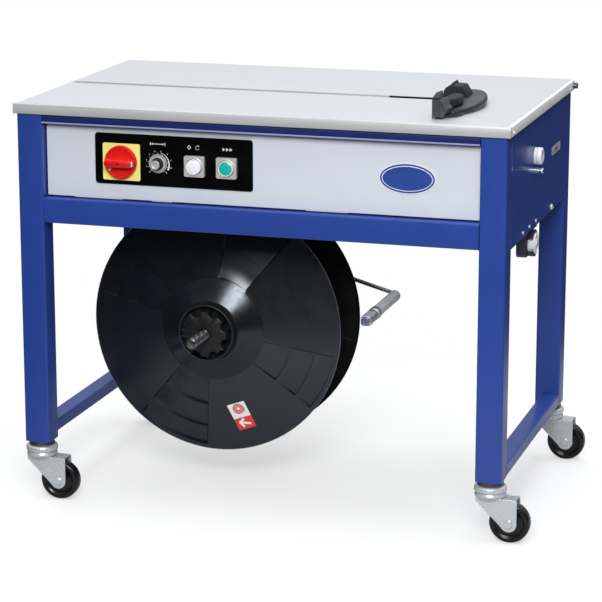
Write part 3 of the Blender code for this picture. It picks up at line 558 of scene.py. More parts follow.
def make_main_switch():
    """A round handle: skirt, sunk face, and a raised grip across it with a marked end."""
    low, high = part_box("main_switch_knob")
    centre = (low + high) / 2
    base, tip, radius = high.y, low.y, (high.x - low.x) / 2
    place = (centre.x, 0.0, centre.z)
    bm = bmesh.new()
    rim = base - 0.0085
    add_turned(bm, [(base, 0.0), (base, radius - 0.0008), (base - 0.001, radius),
                    (rim + 0.002, radius - 0.0006), (rim + 0.0004, radius - 0.0014),
                    (rim, radius - 0.0028), (rim + 0.0006, radius - 0.0046),
                    (rim + 0.0022, radius - 0.0056), (rim + 0.0022, 0.0)], "y", place, 96)
    piece("switch_skirt", bm, RED, "main_switch", "red_plastic", hides=["main_switch_knob"])
    bm = bmesh.new()
    half, width = radius - 0.0018, 0.0175
    sections = [(rim + 0.0030, 1.0, 1.0), (rim - 0.002, 0.985, 0.97), (tip + 0.003, 0.93, 0.80),
                (tip + 0.0008, 0.90, 0.70), (tip, 0.86, 0.58)]
    rings = []
    for y, long, wide in sections:
        outline = rounded(centre.x, centre.z, 2 * half * long, width * wide,
                          0.49 * width * wide, 8)
        rings.append([bm.verts.new((u, y, v)) for u, v in outline])
    add_capped(bm, rings)
    piece("switch_grip", bm, RED, "main_switch", "red_plastic", sharp=50)
    turned("switch_axle_cap", [(tip - SKIN, 0.0), (tip - SKIN, 0.0022), (tip + 0.001, 0.0024),
           (tip + 0.001, 0.0)], "y", place, BLACK, "main_switch", "black_plastic", segments=24)
    bm = bmesh.new()
    mark = centre.x + radius - 0.0060
    front = tip + 0.0022
    add_prism(bm, rounded(mark, centre.z, 0.0062, 0.0086, 0.0012), "y", front, front + 0.004)
    piece("switch_marker", bm, WHITE, "main_switch", "white_plastic", bevel=0.0003)
    bm = bmesh.new()
    for z in (-0.0022, 0.0022):
        add_ribbon(bm, [(mark - 0.0016, centre.z + z), (mark + 0.0016, centre.z + z)], 0.0012,
                   front - SKIN, SKIN)
    piece("switch_marker_lines", bm, INK_RED, "main_switch", "red_plastic")
    bm = bmesh.new()
    slot_x, slot_z = arc(centre.x, centre.z, radius * 0.80, 212, 212, 1)[0]
    place = Matrix.Translation((slot_x, rim + 0.0017, slot_z)) @ Matrix.Rotation(
        math.radians(35), 4, "Y")
    bmesh.ops.create_cube(bm, size=1.0, matrix=place @ Matrix.Diagonal((0.0045, 0.002, 0.0090, 1)))
    piece("switch_lock_tab", bm, YELLOW, "main_switch", "yellow_plastic", bevel=0.0005)


def make_length_dial():
    low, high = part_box("length_dial")
    centre = (low + high) / 2
    place = (centre.x, 0.0, centre.z)
    base, tip = high.y, low.y
    bm = bmesh.new()
    ribs, steps = 20, 4
    rings = []
    for y, radius in ((base - 0.0035, 0.0098), (base - 0.005, 0.0094), (tip + 0.0016, 0.0088),
                      (tip + 0.0008, 0.0083)):
        rings.append([
            bm.verts.new((centre.x + r * math.cos(t), y, centre.z + r * math.sin(t)))
            for t, r in ((2 * math.pi * i / (ribs * steps),
                          radius - (0.0006 if i % steps == 0 else 0.0))
                         for i in range(ribs * steps))
        ])
    add_capped(bm, rings)
    add_turned(bm, [(base, 0.0), (base, 0.0125), (base - 0.001, 0.0125), (base - 0.0035, 0.0112),
                    (base - 0.004, 0.0100), (base - 0.004, 0.0)], "y", place, 48)
    piece("dial_knob", bm, BLACK, "length_dial", "black_plastic", hides=["length_dial"])
    turned("dial_cap", [(tip + 0.0010, 0.0), (tip + 0.0010, 0.0080), (tip + 0.0002, 0.0078),
           (tip - 0.0001, 0.0070), (tip + 0.0003, 0.0064), (tip + 0.0002, 0.0)], "y", place,
           ALUMINIUM, "length_dial", "aluminium", segments=48)
    turned("dial_ring", [(base - 0.0030, 0.0108), (base - 0.0030, 0.0138), (base - 0.0022, 0.0146),
           (base - 0.0008, 0.0146), (base - 0.0008, 0.0128)], "y", place, ALUMINIUM, "length_dial",
           "aluminium", segments=64)
    bm = bmesh.new()
    add_ribbon(bm, [(centre.x - 0.0012, centre.z + 0.0015), (centre.x - 0.0035, centre.z + 0.0046)],
               0.0009, tip - 0.0002, 0.0004)
    piece("dial_pointer", bm, BLACK, "length_dial", "black_plastic")


def make_button(name, cap, ring_mat, slot):
    low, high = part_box(f"{name}_bezel")
    centre = (low + high) / 2
    button_low, button_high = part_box(f"{name}_button")
    radius = (button_high.x - button_low.x) / 2
    hole = radius + 0.0008
    outer = rounded(centre.x, centre.z, (high.x - low.x) * 0.90, (high.z - low.z) * 0.90,
                    0.0026, 12)
    count = len(outer)
    inner = [(centre.x + hole * math.cos(t), centre.z + hole * math.sin(t))
             for t in (2 * math.pi * (i + 0.5) / count for i in range(count))]
    bm = bmesh.new()
    add_frame(bm, outer, inner, "y", low.y, high.y)
    piece(f"{name}_surround", bm, BEZEL, "frame", "grey_plastic", hides=[f"{name}_bezel"],
          bevel=0.0008)
    place = (centre.x, 0.0, centre.z)
    turned(f"{name}_ring", [(low.y + 0.001, hole + 0.0002), (low.y - 0.0008, hole + 0.0004),
           (low.y - 0.0012, hole + 0.0010), (low.y - 0.0008, hole + 0.0020),
           (low.y + 0.0006, hole + 0.0026), (low.y + 0.001, hole + 0.0026)], "y", place, ring_mat,
           "frame", "zinc", segments=64)
    tip, rear = button_low.y, button_high.y
    bm = bmesh.new()
    edge = radius - 0.0002
    add_turned(bm, [(rear, 0.0), (rear, edge), (tip + 0.0016, edge), (tip + 0.0006, edge - 0.0004),
                    (tip + 0.0002, edge - 0.0006), (tip + 0.0002, edge - 0.0009),
                    (tip + 0.0010, edge - 0.0011), (tip + 0.0010, 0.0)], "y", place, 64)
    piece(f"{name}_cap", bm, WHITE, f"{name}_button", "white_plastic", hides=[f"{name}_button"])
    bm = bmesh.new()
    lens = edge - 0.0012
    dome = [(tip + 0.0012, 0.0), (tip + 0.0012, lens)]
    dome += [(tip + 0.0004 - 0.0010 * math.cos(math.pi / 2 * k / 6), lens * k / 6)
             for k in range(5, 0, -1)]
    add_turned(bm, dome + [(tip - 0.0006, 0.0)], "y", place, 64)
    piece(f"{name}_lens", bm, cap, f"{name}_button", slot)


def make_badge():
    """A plain oval plate with two bright rings and no mark on it."""
    centre = at(0.2677, 0.0, 0.6346)
    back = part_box("front_panel")[0].y
    layers = [(0.0500, 0.0270, 0.0010, INK_WHITE, "white_plastic"),
              (0.0484, 0.0254, 0.0013, BADGE_BLUE, "blue_paint"),
              (0.0452, 0.0222, 0.0016, INK_WHITE, "white_plastic"),
              (0.0438, 0.0208, 0.0020, BADGE_BLUE, "blue_paint")]
    for i, (half_w, half_h, depth, mat, slot) in enumerate(layers):
        prism(f"badge_layer_{i}", ellipse(centre.x, centre.z, half_w, half_h, 96), "y",
              back - depth, back, mat, "frame", slot, bevel=0.0002)


# ---- table ------------------------------------------------------------------------------------
def edge_profile(face, inner, bottom, top):
    """Cross-section of an edge extrusion: face is its outer side, inner the side at the sheet."""
    way = 1.0 if inner > face else -1.0
    return [(face + way * 0.0012, bottom), (face + way * 0.0003, bottom + 0.0005),
            (face, bottom + 0.0014), (face, top - 0.0020), (face + way * 0.0004, top - 0.0011),
            (face + way * 0.0012, top - 0.0004), (face + way * 0.0022, top),
            (inner - way * 0.0006, top), (inner - way * 0.0003, top - 0.0006),
            (inner - way * 0.0003, bottom)]


def make_table():
    keep("table_plate", STAINLESS, 0.0003, 2)
    low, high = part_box("table_trim_front")
    prism("front_edge", edge_profile(low.y, high.y, low.z, high.z), "x", low.x, high.x, ALUMINIUM,
          "table", "aluminium", hides=["table_trim_front"], bevel=0.0002, sharp=50)
    slot_low, slot_high = at(0, -0.0275, 0).y, at(0, -0.0095, 0).y
    for side in ("left", "right"):
        low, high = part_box(f"table_strip_{side}")
        face, inner = (low.x, high.x) if side == "left" else (high.x, low.x)
        bm = bmesh.new()
        profile = edge_profile(face, inner, low.z, high.z)
        if side == "left":
            notch = high.z - 0.012
            add_prism(bm, profile, "y", low.y, slot_low)
            add_prism(bm, profile, "y", slot_high, high.y)
            add_box(bm, (low.x, slot_low, low.z), (high.x, slot_high, notch))
        else:
            add_prism(bm, profile, "y", low.y, high.y)
        piece(f"{side}_edge", bm, SIDE_ALUMINIUM, "table", "aluminium",
              hides=[f"table_strip_{side}"], sharp=50)
        sign = -1 if side == "left" else 1
        for end, y in (("front", -0.256), ("rear", 0.245)):
            centre = at(sign * 0.450, y, 0.7222)
            screw(f"edge_screw_{end}_{side}", centre, "x", sign, 0.0038, "table")
    make_slot_channel()
    keep("hinge_rod", STEEL_DARK, 0.0006, 2)


def make_slot_channel():
    """The folded channel under the strap slot."""
    plate_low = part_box("table_plate")[0]
    floor, under = TABLE_TOP - 0.0150, plate_low.z - SKIN
    thick, half = 0.0012, 0.0092
    slot_y = at(0.0, -0.0185, 0.0).y
    left, right = plate_low.x, at(0.167, 0.0, 0.0).x
    section = [(slot_y - half, under), (slot_y - half - thick, under),
               (slot_y - half - thick, floor), (slot_y + half + thick, floor),
               (slot_y + half + thick, under), (slot_y + half, under),
               (slot_y + half, floor + thick), (slot_y - half, floor + thick)]
    prism("slot_channel", section, "x", left, right, STEEL_DARK, "table", "aluminium",
          bevel=0.0003)
    half, brim = 0.0116, TABLE_TOP - 0.0004
    section = [(slot_y - half, brim), (slot_y - half, floor), (slot_y + half, floor),
               (slot_y + half, brim), (slot_y + half - thick, brim),
               (slot_y + half - thick, floor + thick), (slot_y - half + thick, floor + thick),
               (slot_y - half + thick, brim)]
    prism("slot_trough", section, "x", at(0.1675, 0.0, 0.0).x, at(0.2895, 0.0, 0.0).x, PANEL_BLACK,
          "table", "black_plastic", bevel=0.0002)


def loft(bm, sections):
    """Closed skin through outlines [(points, z)], each given in X-Y."""
    rings = [[bm.verts.new((u, v, z if not callable(z) else z(u, v))) for u, v in outline]
             for outline, z in sections]
    add_capped(bm, rings)


def make_strap_guide():
    """Front cheek, curved arm, rear block and worn oval shoe of the guide on the table."""
    top = TABLE_TOP + 0.0003
    x0, y0 = ORIGIN.x, ORIGIN.y

    def place(points):
        return [(x0 + u, y0 + v) for u, v in points]

    bm = bmesh.new()
    front, rear = -0.2385, -0.2050
    cheek = [(0.3030, top), (0.3095, top + 0.0034), (0.3215, top + 0.0030), (0.3255, top + 0.0105),
             (0.3290, top + 0.0160), (0.3240, top + 0.0215), (0.3225, top + 0.0275),
             (0.3175, top + 0.0330), (0.3030, top + 0.0330)]
    low_ring, mid_ring, high_ring = [], [], []
    for u, w in cheek:
        low_ring.append(bm.verts.new((x0 + u, y0 + front, w)))
        mid_ring.append(bm.verts.new((x0 + u + 0.001, y0 + front + 0.018, w + 0.002)))
        high_ring.append(bm.verts.new((x0 + u + 0.003, y0 + rear, w)))
    add_capped(bm, [low_ring, mid_ring, high_ring])
    piece("guide_cheek", bm, GUIDE_FACE, "table", "black_plastic", hides=["strap_guide"],
          bevel=0.0008)
    bm = bmesh.new()
    crest = top + 0.0330
    points = place([(0.3030, -0.2380), (0.3155, -0.2380), (0.3160, -0.2120), (0.3040, -0.2120)])
    rings = [[bm.verts.new((u, v, crest + lift)) for (u, v), lift in zip(points, lifts)]
             for lifts in ((-0.002, -0.002, -0.002, -0.002), (0.003, 0.005, 0.014, 0.009))]
    add_capped(bm, rings)
    piece("guide_cheek_tip", bm, BLACK, "table", "black_plastic", bevel=0.0008)
    make_guide_arm(place, top)
    make_guide_block(top)
    make_guide_shoe(place, top)


def make_guide_arm(place, top):
    spine = [(0.3120, -0.2080, 0.0070), (0.3150, -0.1920, 0.0085), (0.3190, -0.1740, 0.0115),
             (0.3210, -0.1560, 0.0135), (0.3210, -0.1380, 0.0130), (0.3200, -0.1200, 0.0105)]
    bm = bmesh.new()
    left = [(x - half, y) for x, y, half in spine]
    right = [(x + half, y) for x, y, half in spine]
    end = [(0.3200 + 0.0105 * math.cos(t), -0.1200 + 0.0105 * math.sin(t))
           for t in (math.pi * k / 8 for k in range(1, 8))]
    outline = right + end + left[::-1]
    centre = (0.3180, -0.1620)

    def shrunk(scale):
        return [(centre[0] + (u - centre[0]) * scale,
                 centre[1] + (v - centre[1]) * (0.4 + 0.6 * scale)) for u, v in outline]

    loft(bm, [(place(shrunk(1.0)), top + 0.014), (place(shrunk(1.0)), top + 0.022),
              (place(shrunk(0.92)), top + 0.0255), (place(shrunk(0.74)), top + 0.0275)])
    piece("guide_arm", bm, GUIDE, "table", "black_plastic", bevel=0.0005, sharp=60)


def make_guide_block(top):
    """The upright block: a sloped trapezoid with a spike at its left end."""
    x0, y0 = ORIGIN.x, ORIGIN.y
    bm = bmesh.new()
    profile = [(0.2820, 0.012), (0.3300, 0.012), (0.3290, 0.0200), (0.3215, 0.0320),
               (0.3195, 0.0345), (0.3040, 0.0352), (0.3015, 0.0405), (0.2985, 0.0365),
               (0.2885, 0.0300), (0.2855, 0.0250)]
    rings = []
    for y, lean in ((-0.0830, 0.0), (-0.0800, 0.0012), (-0.0460, 0.0012), (-0.0430, 0.0)):
        drop = 0.0 if lean else 0.0015
        rings.append([bm.verts.new((x0 + u, y0 + y, top + max(w - drop, 0.010)))
                      for u, w in profile])
    add_capped(bm, rings)
    piece("guide_block", bm, GUIDE, "table", "black_plastic", bevel=0.0009)


def make_guide_shoe(place, top):
    """A leaning oval disc with a thick rounded rim and a worn top."""
    cx, cy, half_w, half_d = 0.3225, -0.0950, 0.0395, 0.0980

    def lean(v):
        return 0.0045 * (v - ORIGIN.y - cy) / half_d

    def oval(name, mat, steps):
        """Ovals at a share of the full size, each at a height above the table."""
        bm = bmesh.new()
        loft(bm, [(place(ellipse(cx, cy, half_w * s, half_d * s, 72)),
                   lambda u, v, h=h: top + h + lean(v)) for s, h in steps])
        piece(name, bm, mat, "table", "black_plastic", sharp=60)

    oval("guide_shoe", BLACK, ((0.78, 0.0005), (0.93, 0.0012), (0.985, 0.0035), (1.0, 0.0070),
                               (0.992, 0.0105), (0.960, 0.0128), (0.925, 0.0132)))
    oval("guide_shoe_face", GUIDE_FACE, ((0.93, 0.0125), (0.915, 0.0134), (0.87, 0.0137)))
    bm = bmesh.new()
    foot = [(0.3060, -0.2300), (0.3250, -0.2200), (0.3400, -0.2080), (0.3460, -0.1850),
            (0.3400, 0.0020), (0.2640, 0.0020), (0.2640, -0.0500), (0.3040, -0.1900)]
    loft(bm, [(place(foot), top), (place(foot), top + 0.0045)])
    piece("guide_foot", bm, BLACK, "table", "black_plastic", bevel=0.0008)


# ---- casters ----------------------------------------------------------------------------------
def make_caster(tag):
    stem_low, stem_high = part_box(f"caster_stem_{tag}")
    foot = Vector(((stem_low.x + stem_high.x) / 2, (stem_low.y + stem_high.y) / 2, 0.0))
    leg_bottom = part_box(f"leg_{tag}")[0].z
    wheel_low, wheel_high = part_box(f"caster_wheel_{tag}")
    wheel = (wheel_low + wheel_high) / 2
    trail = wheel.x - foot.x
    bm = bmesh.new()
    low = stem_low.z
    add_turned(bm, [(low, 0.0), (low, 0.0225), (low + 0.0012, 0.0238),
                    (leg_bottom - 0.0048, 0.0238), (leg_bottom - 0.0038, 0.0222),
                    (leg_bottom - 0.0006, 0.0222),
                    (leg_bottom - 0.0003, 0.0215), (leg_bottom - 0.0003, 0.0140),
                    (stem_high.z - 0.001, 0.0140), (stem_high.z, 0.013), (stem_high.z, 0.0)],
               "z", foot, 48)
    piece(f"stem_{tag}", bm, STEEL_DARK, "frame", "zinc", hides=[f"caster_stem_{tag}"])
    make_fork(tag, foot, trail, wheel)
    make_wheel(tag, wheel)


def make_fork(tag, foot, trail, wheel):
    body = f"caster_{tag}"
    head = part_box(f"caster_fork_{tag}")[1].z
    turned(f"swivel_head_{tag}", [(head - 0.0212, 0.0), (head - 0.0212, 0.0245),
           (head - 0.0195, 0.0270), (head - 0.0165, 0.0280), (head - 0.0140, 0.0272),
           (head - 0.0128, 0.0256), (head - 0.0118, 0.0256), (head - 0.0106, 0.0280),
           (head - 0.0085, 0.0290), (head - 0.0040, 0.0290), (head - 0.0016, 0.0280),
           (head - 0.0004, 0.0256), (head, 0.0225), (head, 0.0)], "z", foot, ZINC, body, "zinc",
           hides=[f"caster_fork_{tag}"], sharp=60, segments=64)
    inner, thick, end = 0.0138, 0.0025, 0.0145
    deck = 0.0800
    cheek = [(-0.0235, deck + 0.0030), (-0.0225, deck - 0.0060)]
    cheek += arc(trail, wheel.z, end, 208, 360, 16)
    cheek += arc(trail + end - 0.0030, deck - 0.0030, 0.0030, 0, 90, 4)
    cheek += [(0.0120, deck + 0.0006), (-0.0080, deck + 0.0030)]
    outline = [(foot.x + u, v) for u, v in cheek]
    bm = bmesh.new()
    for sign in (-1, 1):
        low, high = sorted((foot.y + sign * inner, foot.y + sign * (inner + thick)))
        add_prism(bm, outline, "y", low, high)
    piece(f"fork_cheeks_{tag}", bm, ZINC, body, "zinc", bevel=0.0006)
    bm = bmesh.new()
    half = inner + thick
    add_box(bm, (foot.x - 0.0190, foot.y - half + 0.0004, deck - 0.0028),
            (foot.x + trail + end - 0.0018, foot.y + half - 0.0004, deck - 0.0003))
    piece(f"fork_deck_{tag}", bm, ZINC, body, "zinc", bevel=0.0006)
    bm = bmesh.new()
    centre = (foot.x + trail, foot.y, wheel.z)
    add_rod(bm, "y", centre, -half - 0.001, half + 0.001, 0.0040)
    for sign in (-1, 1):
        hexagon = arc(centre[0], centre[2], 0.0066, 0, 337.5, 15)
        low, high = sorted((foot.y + sign * (half + 0.0008), foot.y + sign * (half + 0.0042)))
        add_prism(bm, hexagon, "y", low, high)
        low, high = sorted((sign * half, sign * (half + 0.0010)))
        add_turned(bm, [(low, 0.0), (low, 0.0082), (high, 0.0082), (high, 0.0)], "y", centre, 32)
    piece(f"axle_bolt_{tag}", bm, ZINC, body, "zinc", bevel=0.0005)


def make_wheel(tag, wheel):
    half, bore = 0.0120, 0.0044
    side = [(half + 0.0008, bore), (half + 0.0008, 0.0085), (half - 0.0010, 0.0100),
            (half - 0.0026, 0.0125), (half - 0.0034, 0.0160), (half - 0.0034, 0.0240),
            (half - 0.0022, 0.0258), (half - 0.0008, 0.0270), (half - 0.0002, 0.0295),
            (half - 0.0006, 0.0325), (half - 0.0022, 0.0347), (half - 0.0048, 0.0358),
            (half - 0.0080, 0.0360)]
    profile = [(-y, r) for y, r in side] + side[::-1]
    turned(f"wheel_tyre_{tag}", profile, "y", wheel, TYRE, f"wheel_{tag}", "rubber",
           hides=[f"caster_wheel_{tag}"], sharp=50, segments=72)


# ---- reel -------------------------------------------------------------------------------------
STEP_RADII = (0.098, 0.149, 0.194, 0.230)
STEP_SECTORS = ((50, 83), (140, 167), (230, 265), (322, 349))
SHELL = 0.0024


def cone_depth(radius):
    """How far forward of its rim the front flange stands at a radius."""
    rim, foot, top = 0.240, 0.098, 0.056
    if radius >= foot:
        return 0.0205 * (rim - radius) / (rim - foot)
    part = (foot - radius) / (foot - top)
    return 0.0205 + 0.0215 * part ** 1.12


def step_depth(radius, fall):
    """How far a stepped sector is sunk below the cone; fall is its depth at a step's outer end."""
    for inner, outer in zip(STEP_RADII, STEP_RADII[1:]):
        if inner <= radius <= outer:
            return 0.0006 + fall * (radius - inner) / (outer - inner)
    return 0.0


def flange_angles():
    """Angles (degrees, sunk or not) round the reel, doubled where a sector starts or ends."""
    columns = []
    sharp = 0.35
    for k, (start, end) in enumerate(STEP_SECTORS):
        columns += [(start - sharp, False)]
        steps = 12
        columns += [(start + sharp + (end - start - 2 * sharp) * i / steps, True)
                    for i in range(steps + 1)]
        columns += [(end + sharp, False)]
        follow = STEP_SECTORS[(k + 1) % len(STEP_SECTORS)][0]
        follow += 360 if follow < end else 0
        steps = max(4, round((follow - end) / 3))
        columns += [(end + (follow - end) * i / steps, False) for i in range(1, steps)]
    return columns


def flange_radii(inner, rim):
    """Radii out from the hub, doubled at each step so that its riser is steep."""
    riser = 0.0010
    radii = [(inner + (STEP_RADII[0] - inner) * i / 7, False) for i in range(8)]
    for low, high in zip(STEP_RADII, STEP_RADII[1:]):
        radii += [(low + riser, True), (low + (high - low) * 0.5, True), (high - 0.0002, True),
                  (high + 0.0010, False)]
    radii += [(rim - 0.0072, False), (rim - 0.0030, False), (rim - 0.0012, False)]
    return radii


def paint_flange(obj, centre, foot, rim):
    """Gives the hub's cone its own finish, and the rim's bead a lighter plastic as a painted
    highlight.
    """
    obj.data.materials.append(REEL_HUB)
    obj.data.materials.append(REEL_PAINTED_RIM_HIGHLIGHT)
    for face in obj.data.polygons:
        reach = math.hypot(face.center.x - centre.x, face.center.z - centre.z)
        if reach < foot:
            face.material_index = 1
        elif reach > rim:
            face.material_index = 2


def add_flange(bm, centre, forward, inner, rim, level, fall):
    """A stepped sheet disc about Y; forward is -1 when its stepped face looks towards -Y."""
    columns = flange_angles()
    rings = []
    for radius, stepped in flange_radii(inner, rim):
        ring = []
        for angle, sunk in columns:
            depth = level(radius)
            if sunk and stepped:
                depth -= step_depth(radius, fall)
            turn = math.radians(angle)
            ring.append((radius * math.cos(turn), forward * depth, radius * math.sin(turn)))
        rings.append(ring)
    lip = [[(x * k, y + forward * d, z * k) for x, y, z in rings[-1]]
           for k, d in ((1.0030, 0.0012), (1.0045, 0.0004), (1.0050, -0.0012), (1.0045, -0.0030),
                        (1.0020, -0.0036), (0.9960, -0.0026))]
    back = [[(x, y - forward * SHELL, z) for x, y, z in ring] for ring in reversed(rings[:-1])]
    skin = [[bm.verts.new(Vector(centre) + Vector(p)) for p in ring]
            for ring in rings + lip + back]
    add_skin(bm, skin, closed=True)


def make_flanges():
    low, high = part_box("reel_flange_front")
    rim = (high.x - low.x) / 2
    face = high.y - 0.0020
    centre = (REEL_AXIS.x, face - 0.0010, REEL_AXIS.z)
    bm = bmesh.new()
    add_flange(bm, centre, -1, 0.056, rim / 1.005, cone_depth, 0.0046)
    disc = piece("front_flange", bm, REEL, "reel", "reel_plastic", hides=["reel_flange_front"],
                 sharp=28)
    paint_flange(disc, REEL_AXIS, STEP_RADII[0], rim - 0.0022)
    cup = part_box("reel_collar")[1].y
    turned("flange_seat", [(cup + 0.0012, 0.0560), (cup + 0.0004, 0.0550), (cup + 0.0004, 0.0132),
           (cup + 0.0034, 0.0132), (cup + 0.0034, 0.0535), (cup + 0.0045, 0.0545)], "y",
           (REEL_AXIS.x, 0.0, REEL_AXIS.z), REEL_SATIN, "reel", "reel_plastic", segments=96)
    low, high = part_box("reel_flange_rear")
    centre = (REEL_AXIS.x, high.y - 0.0012, REEL_AXIS.z)
    bm = bmesh.new()
    add_flange(bm, centre, 1, 0.0215, rim / 1.005, lambda radius: 0.0, 0.0022)
    # The rear flange gets the darker reel plastic as painted shade.
    piece("rear_flange", bm, REEL_PAINTED_SHADE_REAR, "reel", "reel_plastic", hides=["reel_flange_rear"],
          sharp=28)


def make_reel_core():
    """A ribbed drum, and the threaded stud with a keyway that carries the nut."""
    low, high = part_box("reel_core")
    centre = (REEL_AXIS.x, 0.0, REEL_AXIS.z)
    drum, ribs, steps = 0.086, 24, 6
    outline = []
    for i in range(ribs * steps):
        turn = 2 * math.pi * i / (ribs * steps)
        radius = drum - (0.0022 if i % steps in (0, 1, 2) else 0.0)
        outline.append((centre[0] + radius * math.cos(turn), centre[2] + radius * math.sin(turn)))
    inner = ellipse(centre[0], centre[2], 0.080, 0.080, len(outline))
    bm = bmesh.new()
    add_frame(bm, outline, inner, "y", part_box("reel_flange_front")[1].y - 0.0200, high.y)
    piece("drum", bm, REEL_SATIN, "reel", "reel_plastic", hides=["reel_core"])
    tip, root = low.y + 0.0090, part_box("reel_nut")[0].y - 0.008
    pitch, rounds, per_turn = 0.0025, 40, 6
    count = round((root - tip) / pitch * per_turn)
    rings = []
    bm = bmesh.new()
    for k in range(count + 1):
        y = tip + (root + 0.030 - tip) * k / count
        taper = min(1.0, 0.78 + (y - tip) / 0.0025 * 0.22)
        ring = []
        for i in range(rounds):
            turn = 2 * math.pi * i / rounds
            wave = math.cos(turn + 2 * math.pi * (y - tip) / pitch)
            radius = (0.0097 + 0.0006 * wave) * taper
            if abs((turn - math.radians(118) + math.pi) % (2 * math.pi) - math.pi) < 0.30:
                radius = min(radius, 0.0078)
            ring.append(bm.verts.new((centre[0] + radius * math.cos(turn), y,
                                      centre[2] + radius * math.sin(turn))))
        rings.append(ring)
    add_capped(bm, rings)
    piece("stud", bm, STUD, "reel", "reel_plastic", sharp=40)


def nut_outline(radius, notch_centre, notch_radius, grow=0.0):
    points = []
    for lobe in range(8):
        middle_turn = 45.0 * lobe + 22.5
        half = math.degrees(math.asin((notch_radius + grow) / radius))
        points += arc(0, 0, radius - grow, middle_turn - 45 + half + 1.5,
                      middle_turn - half - 1.5, 6)
        cx, cz = arc(0, 0, notch_centre, middle_turn, middle_turn, 1)[0]
        points += arc(cx, cz, notch_radius + grow, middle_turn - 90, middle_turn - 270, 8)
    return points


def make_nut():
    """The cup that clamps the flange and the notched nut inside it."""
    low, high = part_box("reel_collar")
    centre = (REEL_AXIS.x, 0.0, REEL_AXIS.z)
    floor = high.y - 0.007
    turned("cup", [(high.y, 0.0135), (high.y, 0.0500), (high.y - 0.0012, 0.0530),
           (high.y - 0.0040, 0.0543), (low.y + 0.0020, 0.0532), (low.y + 0.0006, 0.0528),
           (low.y, 0.0518), (low.y + 0.0002, 0.0505), (low.y + 0.0014, 0.0494),
           (floor - 0.002, 0.0488), (floor, 0.0470), (floor, 0.0135)], "y", centre, REEL_SATIN,
           "reel_collar", "reel_plastic", hides=["reel_collar"], sharp=50, segments=96)
    low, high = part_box("reel_nut")
    radius = (high.x - low.x) / 2
    bm = bmesh.new()
    rings = []
    for y, grow in ((high.y, 0.0002), (low.y + 0.0022, 0.0), (low.y + 0.0008, 0.0005),
                    (low.y, 0.0016)):
        rings.append([bm.verts.new((centre[0] + u, y, centre[2] + v))
                      for u, v in nut_outline(radius, radius + 0.0016, 0.0092, grow)])
    add_skin(bm, rings)
    count = len(rings[0])
    for ring, y in ((rings[0], high.y), (rings[-1], low.y)):
        hole = [bm.verts.new((u, y, v))
                for u, v in ellipse(centre[0], centre[2], 0.0108, 0.0108, count)]
        hole = align(hole, ring, centre)
        add_skin(bm, [ring, hole])
        if y == high.y:
            first_hole = hole
    add_skin(bm, [first_hole, hole])
    piece("nut", bm, NUT, "reel_nut", "reel_plastic", hides=["reel_nut"], sharp=40)
    turned("nut_collar", [(low.y + 0.0005, 0.0112), (low.y - 0.0012, 0.0116),
           (low.y - 0.0018, 0.0130), (low.y - 0.0012, 0.0165), (low.y + 0.0005, 0.0180)], "y",
           centre, NUT, "reel_nut", "reel_plastic", segments=64)


def align(hole, ring, centre):
    """Starts a round row of points where the other row starts, so that their skin isn't twisted."""
    first = ring[0].co
    turn = math.atan2(first.z - centre[2], first.x - centre[0])
    shift = round(turn / (2 * math.pi) * len(hole)) % len(hole)
    return hole[shift:] + hole[:shift]


def make_reel_sticker():
    """A small label on the flange: a wound spiral above a red field with an arrow."""
    top_left, top_right = Vector((0.0235, -0.1488)), Vector((0.0562, -0.1369))
    bottom_left = Vector((0.0460, -0.1970))
    across, down = top_right - top_left, bottom_left - top_left
    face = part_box("reel_flange_front")[1].y - 0.0030

    def on_flange(u, v, lift):
        spot = top_left + across * u + down * v
        return Vector((REEL_AXIS.x + spot.x, face - cone_depth(spot.length) - lift,
                       REEL_AXIS.z + spot.y))

    def sheet(name, u0, u1, v0, v1, lift, mat, slot):
        bm = bmesh.new()
        steps = 6
        grids = []
        for level in (0.0, lift):
            grids.append([[bm.verts.new(on_flange(u0 + (u1 - u0) * i / steps,
                                                  v0 + (v1 - v0) * j / steps, level))
                           for i in range(steps + 1)] for j in range(steps + 1)])
        for grid in grids:
            for j in range(steps):
                for i in range(steps):
                    bm.faces.new((grid[j][i], grid[j][i + 1], grid[j + 1][i + 1], grid[j + 1][i]))
        low, high = grids
        for j in range(steps):
            for i in (0, steps):
                bm.faces.new((low[j][i], low[j + 1][i], high[j + 1][i], high[j][i]))
                bm.faces.new((low[i][j], low[i][j + 1], high[i][j + 1], high[i][j]))
        piece(name, bm, mat, "reel", slot)

    def print_shape(name, shapes, lift, mat, slot):
        bm = bmesh.new()
        for shape in shapes:
            rings = [[bm.verts.new(on_flange(u, v, level)) for u, v in shape]
                     for level in (lift - 0.0001, lift + 0.0001)]
            add_capped(bm, rings)
        piece(name, bm, mat, "reel", slot)

    sheet("label_paper", 0.0, 1.0, 0.0, 1.0, 0.00025, PAPER, "white_plastic")
    sheet("label_red_field", 0.0, 1.0, 0.56, 1.0, 0.00040, INK_RED, "red_plastic")
    aspect = down.length / across.length
    spiral = []
    for k in range(49):
        turn = math.radians(40 + 22.5 * k)
        radius = 0.08 + 0.24 * k / 48
        spiral.append((0.50 + radius * math.cos(turn), (0.36 + radius * math.sin(turn)) / aspect))
    print_shape("label_spiral", ribbons(spiral, 0.055, aspect), 0.00040, INK_RED, "red_plastic")
    tilt = 0.10 / aspect
    tail, nose = (0.78, 0.785 + tilt), (0.24, 0.785 - tilt)
    shaft = ribbons([tail, nose], 0.12, aspect)
    head = ribbons([(nose[0] + 0.28, nose[1] - 0.13 / aspect), nose,
                    (nose[0] + 0.13, nose[1] + 0.28 / aspect)], 0.12, aspect)
    print_shape("label_arrow", shaft + head, 0.00055, PAPER, "white_plastic")


